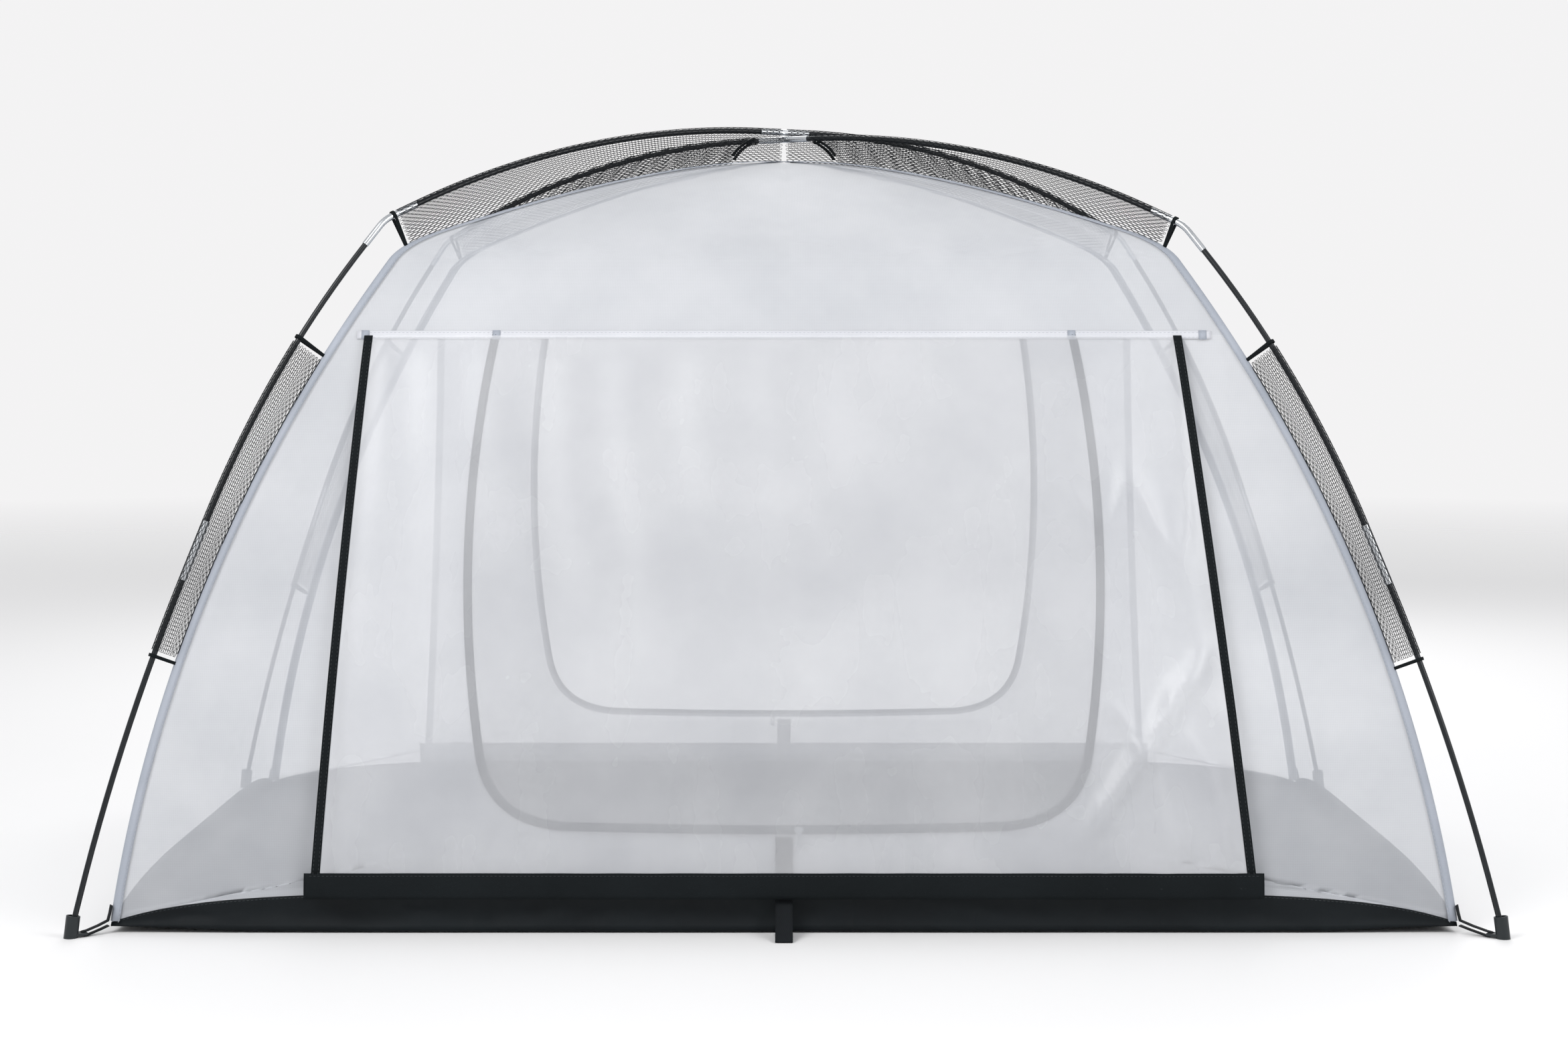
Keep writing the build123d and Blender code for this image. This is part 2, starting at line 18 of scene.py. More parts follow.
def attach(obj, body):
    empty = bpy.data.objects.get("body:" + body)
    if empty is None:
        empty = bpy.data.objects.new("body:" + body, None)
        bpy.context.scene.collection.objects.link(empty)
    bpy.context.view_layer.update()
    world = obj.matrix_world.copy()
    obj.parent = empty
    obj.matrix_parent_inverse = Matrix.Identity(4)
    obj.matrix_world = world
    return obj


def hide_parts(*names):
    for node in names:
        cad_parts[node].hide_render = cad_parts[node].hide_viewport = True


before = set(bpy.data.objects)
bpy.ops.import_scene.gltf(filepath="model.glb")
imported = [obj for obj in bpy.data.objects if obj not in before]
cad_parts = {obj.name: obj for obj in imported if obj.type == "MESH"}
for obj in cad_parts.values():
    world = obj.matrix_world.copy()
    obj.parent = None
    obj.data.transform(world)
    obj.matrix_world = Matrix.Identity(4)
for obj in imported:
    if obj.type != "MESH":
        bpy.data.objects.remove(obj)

LOG = logging.getLogger("tent")
UP = Vector((0.0, 0.0, 1.0))
Flat = tuple[float, float]
Colour = tuple[float, float, float]
Rows = list[list[Vector]]


# ---------------------------------------------------------------- small arithmetic
def eased(x: float) -> float:
    """Return x clamped to 0..1 and eased at both ends."""
    x = min(1.0, max(0.0, x))
    return x * x * (3.0 - 2.0 * x)


def mixed(a: float, b: float, share: float) -> float:
    """Return the value a share of the way from a to b."""
    return a + (b - a) * share


def steps(count: int) -> list[float]:
    """Return evenly spaced shares from 0 to 1, both included."""
    return [i / (count - 1) for i in range(count)]


def curve_point(points: Sequence[Flat], t: float) -> Flat:
    """Return the point at t on a curve drawn by three control points."""
    weights = ((1 - t) ** 2, 2 * t * (1 - t), t * t)
    return tuple(sum(w * p[k] for w, p in zip(weights, points)) for k in (0, 1))


# ---------------------------------------------------------------- the tent's shape
class Side(Enum):
    """A side of the tent: label, outward direction, reach from the centre, half length."""

    FRONT = ("front", (0.0, -1.0), 0.65, 1.0)
    REAR = ("rear", (0.0, 1.0), 0.65, 1.0)
    LEFT = ("left", (-1.0, 0.0), 1.0, 0.65)
    RIGHT = ("right", (1.0, 0.0), 1.0, 0.65)

    @property
    def label(self) -> str:
        """Name used in piece names."""
        return self.value[0]

    @property
    def outwards(self) -> Vector:
        """Unit vector that points away from the tent."""
        return Vector((*self.value[1], 0.0))

    @property
    def along(self) -> Vector:
        """Unit vector to the right, seen from outside."""
        return UP.cross(self.outwards)

    @property
    def reach(self) -> float:
        """Distance from the centre to the side's foot."""
        return self.value[2]

    @property
    def span(self) -> float:
        """Half the side's length at its foot."""
        return self.value[3]

    def place(self, across: float, out: float, height: float) -> Vector:
        """Return a point from its distances along, out from the centre and up."""
        return self.along * across + self.outwards * out + UP * height


@dataclass(frozen=True)
class DomeProfile:
    """The curve that every side and ridge follows, as share of reach and height."""

    wall: tuple[Flat, ...] = ((1.0, 0.0), (0.925, 0.540), (0.612, 1.000))
    shoulder: tuple[Flat, ...] = ((0.612, 1.000), (0.595, 1.025), (0.540, 1.046))
    roof: tuple[Flat, ...] = ((0.540, 1.046), (0.200, 1.175), (0.0, 1.175))

    def at(self, s: float) -> Flat:
        """Return share and height at s: 0..1 wall, 1..2 shoulder, 2..3 roof."""
        part = min(2, int(s))
        return curve_point((self.wall, self.shoulder, self.roof)[part], s - part)

    def push(self, s: float) -> Flat:
        """Return how an outward offset splits into reach and height at s.

        Args:
            s: Parameter on the curve.

        Returns:
            Shares of the offset that go outwards and upwards.
        """
        if s <= 1.0:
            return 1.0, 0.0
        if s >= 2.0:
            return 0.0, 1.0
        t = s - 1.0
        return 1.0 - t * t, 1.0 - (1.0 - t) ** 2

    def s_at(self, height: float) -> float:
        """Return the curve's parameter at a height.

        Args:
            height: Height above the ground.

        Returns:
            The parameter, 0 to 3.
        """
        low, high = 0.0, 3.0
        for _ in range(40):
            middle = (low + high) / 2
            if self.at(middle)[1] < height:
                low = middle
            else:
                high = middle
        return low

    def share_at(self, height: float) -> float:
        """Return the share of reach at a height."""
        return self.at(self.s_at(height))[0]


PROFILE = DomeProfile()
DIAGONAL = math.hypot(1.0, 0.65)
SEAM = 0.885


def on_side(
    side: Side, across: float, s: float, offset: float = 0.0, flare: float = 0.0
) -> Vector:
    """Place a point on a side's wall.

    Args:
        side: The side it lies on.
        across: Distance to the right of the middle, seen from outside.
        s: Parameter on the dome's curve.
        offset: Distance off the wall, outwards.
        flare: Extra distance at the foot, fading to none at the shoulder.

    Returns:
        The point in the tent's frame.
    """
    share, height = PROFILE.at(s)
    reach_push, rise_push = PROFILE.push(s)
    out = side.reach * share + offset * reach_push + flare * max(0.0, 1.0 - s)
    return side.place(across, out, height + offset * rise_push)


def tub_edge(side: Side, across: float) -> float:
    """Return the height of the floor tub's top edge along a side.

    Args:
        side: The side it runs along.
        across: Distance from the side's middle.

    Returns:
        The height in metres.
    """
    run = abs(across) - (side.span - 0.430)
    if run <= 0.0:
        return 0.058
    q = (0.645 - math.sqrt(max(0.0, 0.645**2 - 0.86 * run))) / 0.43
    return 0.058 - 0.042 * min(1.0, q) ** 2


@dataclass(frozen=True)
class DoorOutline:
    """The U-shaped door in a long side, in flat coordinates across and up."""

    top_half: float = 0.442
    swell: tuple[float, float] = (0.1406, -0.1497)
    bottom: float = 0.152
    corner_high: float = 0.262
    corner_in: float = 0.330
    corner_pull: Flat = (0.438, 0.166)
    sag: float = 0.005
    leg_steps: int = 56
    corner_steps: int = 16
    bottom_steps: int = 72

    def half_at(self, height: float) -> float:
        """Return the leg's distance from the middle at a height."""
        t = (SEAM - height) / (SEAM - self.bottom)
        return self.top_half + self.swell[0] * t + self.swell[1] * t * t

    def path(self, grow: float = 0.0, top: float = SEAM) -> list[Flat]:
        """Return points down the left leg, along the bottom and up the right leg.

        Args:
            grow: Distance that the outline is moved outwards.
            top: Height that the legs start from.

        Returns:
            Points across and up, the same number for every grow.
        """
        heights = [mixed(top, self.corner_high, f) for f in steps(self.leg_steps)]
        points = [(-self.half_at(z), z) for z in heights]
        turn = (points[-1], (-self.corner_pull[0], self.corner_pull[1]),
                (-self.corner_in, self.bottom + self.sag))
        points += [curve_point(turn, f) for f in steps(self.corner_steps)[1:]]
        for f in steps(self.bottom_steps // 2 + 1)[1:]:
            points.append((mixed(-self.corner_in, 0.0, f), self.bottom + self.sag * (1 - f) ** 2))
        moved = []
        past_end = (0.01, self.bottom)
        for before, here, after in zip([points[0], *points], points, [*points[1:], past_end]):
            dx, dz = after[0] - before[0], after[1] - before[1]
            size = math.hypot(dx, dz)
            moved.append((here[0] + dz / size * grow, here[1] - dx / size * grow))
        moved[0] = (moved[0][0], top)
        moved[-1] = (0.0, moved[-1][1])
        return moved + [(-x, z) for x, z in reversed(moved[:-1])]


DOOR = DoorOutline()


@dataclass(frozen=True)
class Drape:
    """Soft folds and creases of hanging cloth, as a push away from the wall in metres."""

    depth: float
    pleat: float = 0.12
    crease: float = 0.0
    drift: float = 0.0
    seed: float = 0.0
    inwards: bool = False

    def push(self, across: float, height: float) -> float:
        """Return the push at a place on the sheet.

        Args:
            across: Distance along the wall.
            height: Height on the wall.

        Returns:
            Distance in metres, negative if inwards.
        """
        wander = noise.noise(Vector((across * 2.6, height * 1.7, self.seed)))
        sway = noise.noise(Vector((across * 1.1 + 5.0, height * 0.7, self.seed)))
        wave = 0.5 + 0.5 * math.sin(2 * math.pi * across / self.pleat + 4.2 * wander + 2.0 * sway)
        strength = 0.45 + 0.55 * noise.noise(Vector((across * 3.1, height * 0.9, self.seed + 3.0)))
        ridge = 1.0 - abs(noise.noise(Vector((across * 11.0, height * 3.0, self.seed + 7.0))))
        slow = 0.5 + 0.5 * noise.noise(Vector((across * 4.0, height * 4.0, self.seed + 9.0)))
        total = self.depth * wave * max(0.0, strength) + self.crease * ridge**9
        total += self.drift * slow
        return -total if self.inwards else total


# ---------------------------------------------------------------- node trees
class Board:
    """Adds nodes to one tree and joins them."""

    def __init__(self, tree: bpy.types.NodeTree) -> None:
        """Keep the tree that nodes are added to."""
        self.tree = tree

    def put(self, socket: bpy.types.NodeSocket, value: Any) -> None:
        """Join a socket to another socket, or give it a plain value.

        Args:
            socket: The socket to set.
            value: A socket to join it to, or a plain value.
        """
        if isinstance(value, bpy.types.NodeSocket):
            self.tree.links.new(value, socket)
        else:
            socket.default_value = value

    def add(self, kind: str, inputs: dict[Any, Any] | None = None, **props: Any) -> bpy.types.Node:
        """Add a node.

        Args:
            kind: The node's type name.
            inputs: Values or sockets for its inputs, by name or index.
            **props: Settings of the node itself.

        Returns:
            The new node.
        """
        node = self.tree.nodes.new(kind)
        for key, value in props.items():
            setattr(node, key, value)
        for key, value in (inputs or {}).items():
            self.put(node.inputs[key], value)
        return node

    def math(self, operation: str, a: Any, b: Any = 0.0, clamp: bool = False) -> Any:
        """Add a maths node and return its result."""
        node = self.add("ShaderNodeMath", {0: a, 1: b}, operation=operation, use_clamp=clamp)
        return node.outputs[0]

    def noise(self, vector: Any, scale: Any, detail: float = 3.0, rough: float = 0.5) -> Any:
        """Add a noise texture and return its factor."""
        inputs = {"Vector": vector, "Scale": scale, "Detail": detail, "Roughness": rough}
        return self.add("ShaderNodeTexNoise", inputs).outputs["Fac"]

    def stretched(self, vector: Any, scale: Sequence[float]) -> Any:
        """Scale a vector along each axis and return it."""
        return self.add("ShaderNodeMapping", {"Vector": vector, "Scale": scale}).outputs[0]

    def banded(self, value: Any, low: float, high: float, start: float, stop: float) -> Any:
        """Map a value from one range to another, clamped, and return it."""
        inputs = {"Value": value, 1: low, 2: high, 3: start, 4: stop}
        return self.add("ShaderNodeMapRange", inputs).outputs[0]

    def blended(self, factor: Any, a: Any, b: Any) -> Any:
        """Mix two colours and return the result.

        Args:
            factor: Share of the second colour.
            a: First colour, or its socket.
            b: Second colour, or its socket.

        Returns:
            The mixed colour's socket.
        """
        node = self.add("ShaderNodeMix", {0: factor}, data_type="RGBA")
        for socket, value in ((node.inputs[6], a), (node.inputs[7], b)):
            self.put(socket, value if isinstance(value, bpy.types.NodeSocket) else (*value, 1.0))
        return node.outputs[2]


def new_group(
    name: str, kind: str, inputs: dict[str, tuple[str, Any]], outputs: dict[str, str]
) -> tuple[bpy.types.NodeTree, Board, bpy.types.Node, bpy.types.Node]:
    """Start a node group with named inputs and outputs.

    Args:
        name: The group's name.
        kind: The tree type.
        inputs: Input names with their socket type and default.
        outputs: Output names with their socket type.

    Returns:
        The tree, a board on it, its input node and its output node.
    """
    tree = bpy.data.node_groups.new(name, kind)
    for label, (socket_type, default) in inputs.items():
        socket = tree.interface.new_socket(label, in_out="INPUT", socket_type=socket_type)
        if default is not None:
            socket.default_value = default
    for label, socket_type in outputs.items():
        tree.interface.new_socket(label, in_out="OUTPUT", socket_type=socket_type)
    board = Board(tree)
    return tree, board, board.add("NodeGroupInput"), board.add("NodeGroupOutput")


FLOAT = "NodeSocketFloat"
VECTOR = "NodeSocketVector"


class ShaderGroups:
    """The effects that several finishes share, each built once."""

    def __init__(self) -> None:
        """Build every shared group."""
        self.weave = self._weave()
        self.crumple = self._crumple()
        self.wear = self._wear()

    def _weave(self) -> bpy.types.NodeTree:
        """Plain weave: thread height, how much a thread covers, and a slow tone drift.

        Returns:
            The node group.
        """
        tree, board, into, out = new_group(
            "plain_weave", "ShaderNodeTree",
            {"Vector": (VECTOR, None), "Threads": (FLOAT, 900.0), "Tone Scale": (FLOAT, 5.0)},
            {"Height": FLOAT, "Cover": FLOAT, "Tone": FLOAT},
        )
        place, threads = into.outputs["Vector"], into.outputs["Threads"]
        scaled = board.add("ShaderNodeVectorMath", {0: place, "Scale": threads}, operation="SCALE")
        parts = board.add("ShaderNodeSeparateXYZ", {0: scaled.outputs[0]})
        warp = board.math("SINE", board.math("MULTIPLY", parts.outputs[0], math.tau))
        weft = board.math("SINE", board.math("MULTIPLY", parts.outputs[1], math.tau))
        crossing = board.math("MULTIPLY", warp, weft)
        board.put(out.inputs["Height"], board.banded(crossing, -1.0, 1.0, 0.0, 1.0))
        cover = board.math("MAXIMUM", warp, weft)
        board.put(out.inputs["Cover"], board.banded(cover, -0.6, 0.9, 0.0, 1.0))
        board.put(out.inputs["Tone"], board.noise(place, into.outputs["Tone Scale"], 4.0))
        return tree

    def _crumple(self) -> bpy.types.NodeTree:
        """Long soft creases that run up a hanging cloth.

        Returns:
            The node group.
        """
        tree, board, into, out = new_group(
            "crumpled_cloth", "ShaderNodeTree",
            {"Vector": (VECTOR, None), "Scale": (FLOAT, 9.0), "Sharpness": (FLOAT, 2.0)},
            {"Height": FLOAT, "Glint": FLOAT},
        )
        place, scale = into.outputs["Vector"], into.outputs["Scale"]
        long_folds = board.noise(board.stretched(place, (4.6, 0.30, 1.0)), scale, 1.0, 0.3)
        crossed = board.noise(board.stretched(place, (3.0, 0.45, 1.0)), scale, 2.0, 0.4)
        centred = board.math("ABSOLUTE", board.math("SUBTRACT", long_folds, 0.5))
        ridge = board.math("SUBTRACT", 1.0, board.math("MULTIPLY", centred, 5.0), clamp=True)
        sharp = board.math("POWER", ridge, into.outputs["Sharpness"])
        mixed_height = board.math("ADD", board.math("MULTIPLY", sharp, 0.12), crossed)
        board.put(out.inputs["Height"], mixed_height)
        board.put(out.inputs["Glint"], sharp)
        return tree

    def _wear(self) -> bpy.types.NodeTree:
        """Fine grain and sparse rubbed patches for hard parts.

        Returns:
            The node group.
        """
        tree, board, into, out = new_group(
            "rubbed_surface", "ShaderNodeTree",
            {"Vector": (VECTOR, None), "Grain": (FLOAT, 400.0), "Patch": (FLOAT, 25.0)},
            {"Height": FLOAT, "Rub": FLOAT, "Dust": FLOAT},
        )
        place = into.outputs["Vector"]
        fine = board.noise(place, into.outputs["Grain"], 2.0)
        patch = board.noise(place, into.outputs["Patch"], 5.0, 0.65)
        board.put(out.inputs["Height"], fine)
        board.put(out.inputs["Rub"], board.banded(patch, 0.56, 0.72, 0.0, 1.0))
        board.put(out.inputs["Dust"], board.banded(patch, 0.50, 0.30, 0.0, 1.0))
        return tree


GROUPS = ShaderGroups()


# ---------------------------------------------------------------- finishes
DRESSED: dict[str, bpy.types.Material] = {}


@dataclass(frozen=True)
class ClothFinish:
    """A woven or knitted cloth."""

    label: str
    colour: Colour
    shade: Colour
    roughness: float
    alpha: float = 1.0
    open_weave: float = 0.0
    threads: float = 900.0
    relief: float = 0.0002
    crumple: float = 0.0
    crumple_scale: float = 9.0
    sheen: float = 0.2
    specular: float = 0.4
    tone_scale: float = 5.0

    def material(self) -> bpy.types.Material:
        """Return the finish's material, built the first time it is asked for.

        Returns:
            The material.
        """
        if self.label in DRESSED:
            return DRESSED[self.label]
        material = bpy.data.materials.new(f"{self.label}_finish")
        material.use_nodes = True
        DRESSED[self.label] = material
        board = Board(material.node_tree)
        shader = material.node_tree.nodes["Principled BSDF"]
        flat = board.add("ShaderNodeTexCoord").outputs["UV"]
        weave = board.add("ShaderNodeGroup", node_tree=GROUPS.weave)
        board.put(weave.inputs["Vector"], flat)
        board.put(weave.inputs["Threads"], self.threads)
        board.put(weave.inputs["Tone Scale"], self.tone_scale)
        tone = board.banded(weave.outputs["Tone"], 0.35, 0.65, 0.0, 1.0)
        colour = board.blended(tone, self.shade, self.colour)
        board.put(shader.inputs["Base Color"], colour)
        bump = board.add("ShaderNodeBump", {"Strength": 0.5, "Distance": self.relief})
        board.put(bump.inputs["Height"], weave.outputs["Height"])
        smooth, dull = self.roughness - 0.05, self.roughness + 0.07
        rough = board.banded(weave.outputs["Tone"], 0.3, 0.7, smooth, dull)
        if self.crumple:
            folds = board.add("ShaderNodeGroup", node_tree=GROUPS.crumple)
            board.put(folds.inputs["Vector"], flat)
            board.put(folds.inputs["Scale"], self.crumple_scale)
            larger = board.add("ShaderNodeBump", {"Strength": 0.6, "Distance": self.crumple})
            board.put(larger.inputs["Height"], folds.outputs["Height"])
            board.put(bump.inputs["Normal"], larger.outputs[0])
            glint = board.math("MULTIPLY", folds.outputs["Glint"], 0.04)
            rough = board.math("SUBTRACT", rough, glint)
        board.put(shader.inputs["Normal"], bump.outputs[0])
        board.put(shader.inputs["Roughness"], rough)
        shader.inputs["Sheen Weight"].default_value = self.sheen
        shader.inputs["Sheen Roughness"].default_value = 0.4
        shader.inputs["Specular IOR Level"].default_value = self.specular
        if self.alpha < 1.0:
            low, high = self.alpha - self.open_weave, self.alpha + self.open_weave
            cover = board.banded(weave.outputs["Cover"], 0.0, 1.0, low, high)
            drift = board.banded(weave.outputs["Tone"], 0.3, 0.7, -0.02, 0.02)
            board.put(shader.inputs["Alpha"], board.math("ADD", cover, drift, clamp=True))
        return material


@dataclass(frozen=True)
class HardFinish:
    """A plastic or metal part."""

    label: str
    colour: Colour
    worn: Colour
    roughness: float
    metallic: float = 0.0
    grain: float = 400.0
    relief: float = 0.00004
    patch: float = 25.0
    coat: float = 0.0
    specular: float = 0.4
    drawn: bool = False

    def material(self) -> bpy.types.Material:
        """Return the finish's material, built the first time it is asked for.

        Returns:
            The material.
        """
        if self.label in DRESSED:
            return DRESSED[self.label]
        material = bpy.data.materials.new(f"{self.label}_finish")
        material.use_nodes = True
        DRESSED[self.label] = material
        board = Board(material.node_tree)
        shader = material.node_tree.nodes["Principled BSDF"]
        place = board.add("ShaderNodeTexCoord").outputs["Object"]
        if self.drawn:
            place = board.stretched(place, (1.0, 1.0, 0.12))
        wear = board.add("ShaderNodeGroup", node_tree=GROUPS.wear)
        board.put(wear.inputs["Vector"], place)
        board.put(wear.inputs["Grain"], self.grain)
        board.put(wear.inputs["Patch"], self.patch)
        rub = board.math("MULTIPLY", wear.outputs["Rub"], 0.5)
        board.put(shader.inputs["Base Color"], board.blended(rub, self.colour, self.worn))
        dulled = board.math("MULTIPLY_ADD", wear.outputs["Dust"], 0.12)
        board.put(dulled.node.inputs[2], self.roughness)
        board.put(shader.inputs["Roughness"], dulled)
        bump = board.add("ShaderNodeBump", {"Strength": 0.4, "Distance": self.relief})
        board.put(bump.inputs["Height"], wear.outputs["Height"])
        board.put(shader.inputs["Normal"], bump.outputs[0])
        shader.inputs["Metallic"].default_value = self.metallic
        shader.inputs["Specular IOR Level"].default_value = self.specular
        shader.inputs["Coat Weight"].default_value = self.coat
        shader.inputs["Coat Roughness"].default_value = 0.12
        return material


WHITE = (0.68, 0.695, 0.73)
WHITE_SHADE = (0.60, 0.62, 0.66)
SHEER = ClothFinish(
    "sheer_net", WHITE, WHITE_SHADE, 0.5, alpha=0.54, open_weave=0.05, threads=700.0,
    crumple=0.0015, crumple_scale=2.6, sheen=0.2,
)
DOOR_NET = ClothFinish(
    "door_net", WHITE, WHITE_SHADE, 0.5, alpha=0.25, open_weave=0.05, threads=700.0,
    crumple=0.0015, crumple_scale=2.6, sheen=0.2,
)
CURTAIN_NET = ClothFinish(
    "satin_sheer", (0.75, 0.757, 0.785), (0.67, 0.68, 0.71), 0.27, alpha=0.45, open_weave=0.04,
    threads=1100.0, relief=0.0001, crumple=0.0007, crumple_scale=3.2, sheen=0.3, specular=0.9,
)
WHITE_TAPE = ClothFinish(
    "white_tape", (0.72, 0.73, 0.765), (0.66, 0.67, 0.71), 0.55, alpha=0.88, open_weave=0.04,
    threads=600.0,
)
GREY_TAPE = ClothFinish(
    "grey_tape", (0.44, 0.47, 0.53), (0.37, 0.40, 0.455), 0.55, alpha=0.92, open_weave=0.04,
    threads=600.0, relief=0.0003, sheen=0.05, specular=0.3,
)
ZIP_TAPE = ClothFinish(
    "zip_tape", (0.032, 0.040, 0.052), (0.022, 0.029, 0.038), 0.6, threads=900.0, relief=0.0003,
    sheen=0.05, specular=0.25,
)
BLACK_TAPE = ClothFinish(
    "black_tape", (0.0075, 0.010, 0.0115), (0.0045, 0.0065, 0.0075), 0.66, threads=500.0,
    relief=0.0005, sheen=0.02, specular=0.1,
)
WEBBING = ClothFinish(
    "black_webbing", (0.011, 0.013, 0.015), (0.006, 0.0075, 0.009), 0.7, threads=340.0,
    relief=0.0008, sheen=0.02, specular=0.12,
)
TUB_CLOTH = ClothFinish(
    "coated_tub_cloth", (0.0065, 0.0095, 0.0115), (0.004, 0.006, 0.0075), 0.5, threads=700.0,
    relief=0.0003, crumple=0.009, crumple_scale=3.4, sheen=0.02, specular=0.16,
)
NET_THREAD = HardFinish(
    "sleeve_net_thread", (0.007, 0.009, 0.011), (0.02, 0.02, 0.024), 0.6, grain=900.0,
    specular=0.15,
)
SEWING = HardFinish("black_sewing_thread", (0.02, 0.024, 0.027), (0.05, 0.05, 0.055), 0.6)
PALE_SEWING = HardFinish("pale_sewing_thread", (0.46, 0.48, 0.52), (0.55, 0.55, 0.57), 0.6)
ZIP_SEWING = HardFinish("zip_sewing_thread", (0.05, 0.06, 0.072), (0.08, 0.09, 0.10), 0.6)
ZIP_COIL = HardFinish("zip_coil", (0.03, 0.037, 0.046), (0.06, 0.068, 0.08), 0.4, specular=0.25)
ROD = HardFinish(
    "gloss_pole_rod", (0.006, 0.008, 0.010), (0.02, 0.02, 0.024), 0.30, coat=0.12, drawn=True,
    relief=0.00002, specular=0.35,
)
BRIGHT_METAL = HardFinish(
    "bright_metal", (0.66, 0.68, 0.70), (0.46, 0.47, 0.49), 0.20, metallic=1.0, drawn=True,
    grain=900.0, relief=0.00001,
)
CAP_PLASTIC = HardFinish(
    "moulded_cap", (0.012, 0.016, 0.018), (0.05, 0.055, 0.06), 0.42, grain=700.0, relief=0.0001,
)
SLIDER_METAL = HardFinish(
    "slider_metal", (0.34, 0.36, 0.38), (0.55, 0.56, 0.58), 0.32, metallic=1.0, relief=0.00003,
)
CORE_CORD = HardFinish("shock_cord", (0.02, 0.02, 0.025), (0.2, 0.2, 0.2), 0.7, grain=1500.0)


# ---------------------------------------------------------------- making meshes
def plain_copy(piece: bpy.types.Object, name: str) -> bpy.types.Object:
    """Turn a piece and its live modifiers into a new piece with a plain mesh.

    Args:
        piece: The piece to bake, which is removed.
        name: The new piece's name.

    Returns:
        The new piece.
    """
    graph = bpy.context.evaluated_depsgraph_get()
    graph.update()
    mesh = bpy.data.meshes.new_from_object(
        piece.evaluated_get(graph), preserve_all_data_layers=True, depsgraph=graph
    )
    old = piece.data
    bpy.data.objects.remove(piece)
    if old.users == 0 and isinstance(old, bpy.types.Mesh):
        bpy.data.meshes.remove(old)
    mesh.name = name
    result = bpy.data.objects.new(name, mesh)
    bpy.context.scene.collection.objects.link(result)
    return result


@dataclass
class ClothPatch:
    """A grid of points with each point's place on the flat cloth."""

    rows: Rows
    flats: list[list[Flat]]


def flats_of(rows: Rows) -> list[list[Flat]]:
    """Measure a grid's points along its rows and columns, as flat places in metres.

    Args:
        rows: The grid of points.

    Returns:
        A flat place for each point.
    """
    flats: list[list[Flat]] = []
    down = 0.0
    for i, row in enumerate(rows):
        if i:
            middle = len(row) // 2
            down += (row[middle] - rows[i - 1][middle]).length
        run = [0.0]
        for a, b in zip(row, row[1:]):
            run.append(run[-1] + (b - a).length)
        centre = run[-1] / 2
        flats.append([(x - centre, down) for x in run])
    return flats


def cloth(
    name: str,
    patches: Iterable[ClothPatch],
    finish: ClothFinish,
    thickness: float = 0.0,
    heart: Vector = Vector((0.0, 0.0, 0.35)),
) -> bpy.types.Object:
    """Make one cloth piece from grids of points.

    Args:
        name: The piece's name.
        patches: Its grids.
        finish: Its cloth.
        thickness: Thickness in metres, or 0 for a sheer single layer.
        heart: A point that the faces look away from.

    Returns:
        The new piece.
    """
    mesh = bmesh.new()
    layer = mesh.loops.layers.uv.new("flat")
    for patch in patches:
        grid = [[mesh.verts.new(p) for p in row] for row in patch.rows]
        for i in range(len(grid) - 1):
            for j in range(len(grid[i]) - 1):
                corners = ((i, j), (i, j + 1), (i + 1, j + 1), (i + 1, j))
                face = mesh.faces.new([grid[a][b] for a, b in corners])
                face.smooth = True
                for loop, (a, b) in zip(face.loops, corners):
                    loop[layer].uv = patch.flats[a][b]
    bmesh.ops.remove_doubles(mesh, verts=mesh.verts, dist=0.00002)
    mesh.normal_update()
    looks_out = sum(
        f.normal.dot(f.calc_center_median() - heart) * f.calc_area() for f in mesh.faces
    )
    if looks_out < 0.0:
        bmesh.ops.reverse_faces(mesh, faces=mesh.faces)
    data = bpy.data.meshes.new(name)
    mesh.to_mesh(data)
    mesh.free()
    data.materials.append(finish.material())
    piece = bpy.data.objects.new(name, data)
    bpy.context.scene.collection.objects.link(piece)
    if thickness:
        shell = piece.modifiers.new("thickness", "SOLIDIFY")
        shell.thickness = thickness
        shell.offset = 0.0
        piece = plain_copy(piece, name)
    return piece


def fitted(
    piece: bpy.types.Object, body: str, node: str | None = None
) -> bpy.types.Object:
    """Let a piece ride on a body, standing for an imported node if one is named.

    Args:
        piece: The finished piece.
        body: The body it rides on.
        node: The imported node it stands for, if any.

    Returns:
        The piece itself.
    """
    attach(piece, body)
    if node:
        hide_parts(node)
    return piece


def strip_rows(centres: Sequence[Vector], across: Vector, width: float, columns: int = 5) -> Rows:
    """Lay a strip of a width along a line of points, straight across."""
    return [[c + across * width * (f - 0.5) for f in steps(columns)] for c in centres]


# ---------------------------------------------------------------- repeated parts
@dataclass(frozen=True)
class PartSize:
    """Size and spacing of a small part that repeats along a path."""

    spacing: float
    length: float
    width: float
    height: float


Path = list[tuple[Vector, Vector]]


def end_tree(
    board: Board, last: bpy.types.Node, into: bpy.types.Node, out: bpy.types.Node
) -> None:
    """End a Geometry Nodes tree: make instances real, smooth them and set the material.

    Args:
        board: The tree's board.
        last: The node whose geometry is finished.
        into: The tree's input node.
        out: The tree's output node.
    """
    real = board.add("GeometryNodeRealizeInstances", {0: last.outputs[0]})
    soft = board.add("GeometryNodeSetShadeSmooth", {0: real.outputs[0]})
    dressed = board.add(
        "GeometryNodeSetMaterial",
        {"Geometry": soft.outputs[0], "Material": into.outputs["Material"]},
    )
    board.put(out.inputs["Geometry"], dressed.outputs[0])


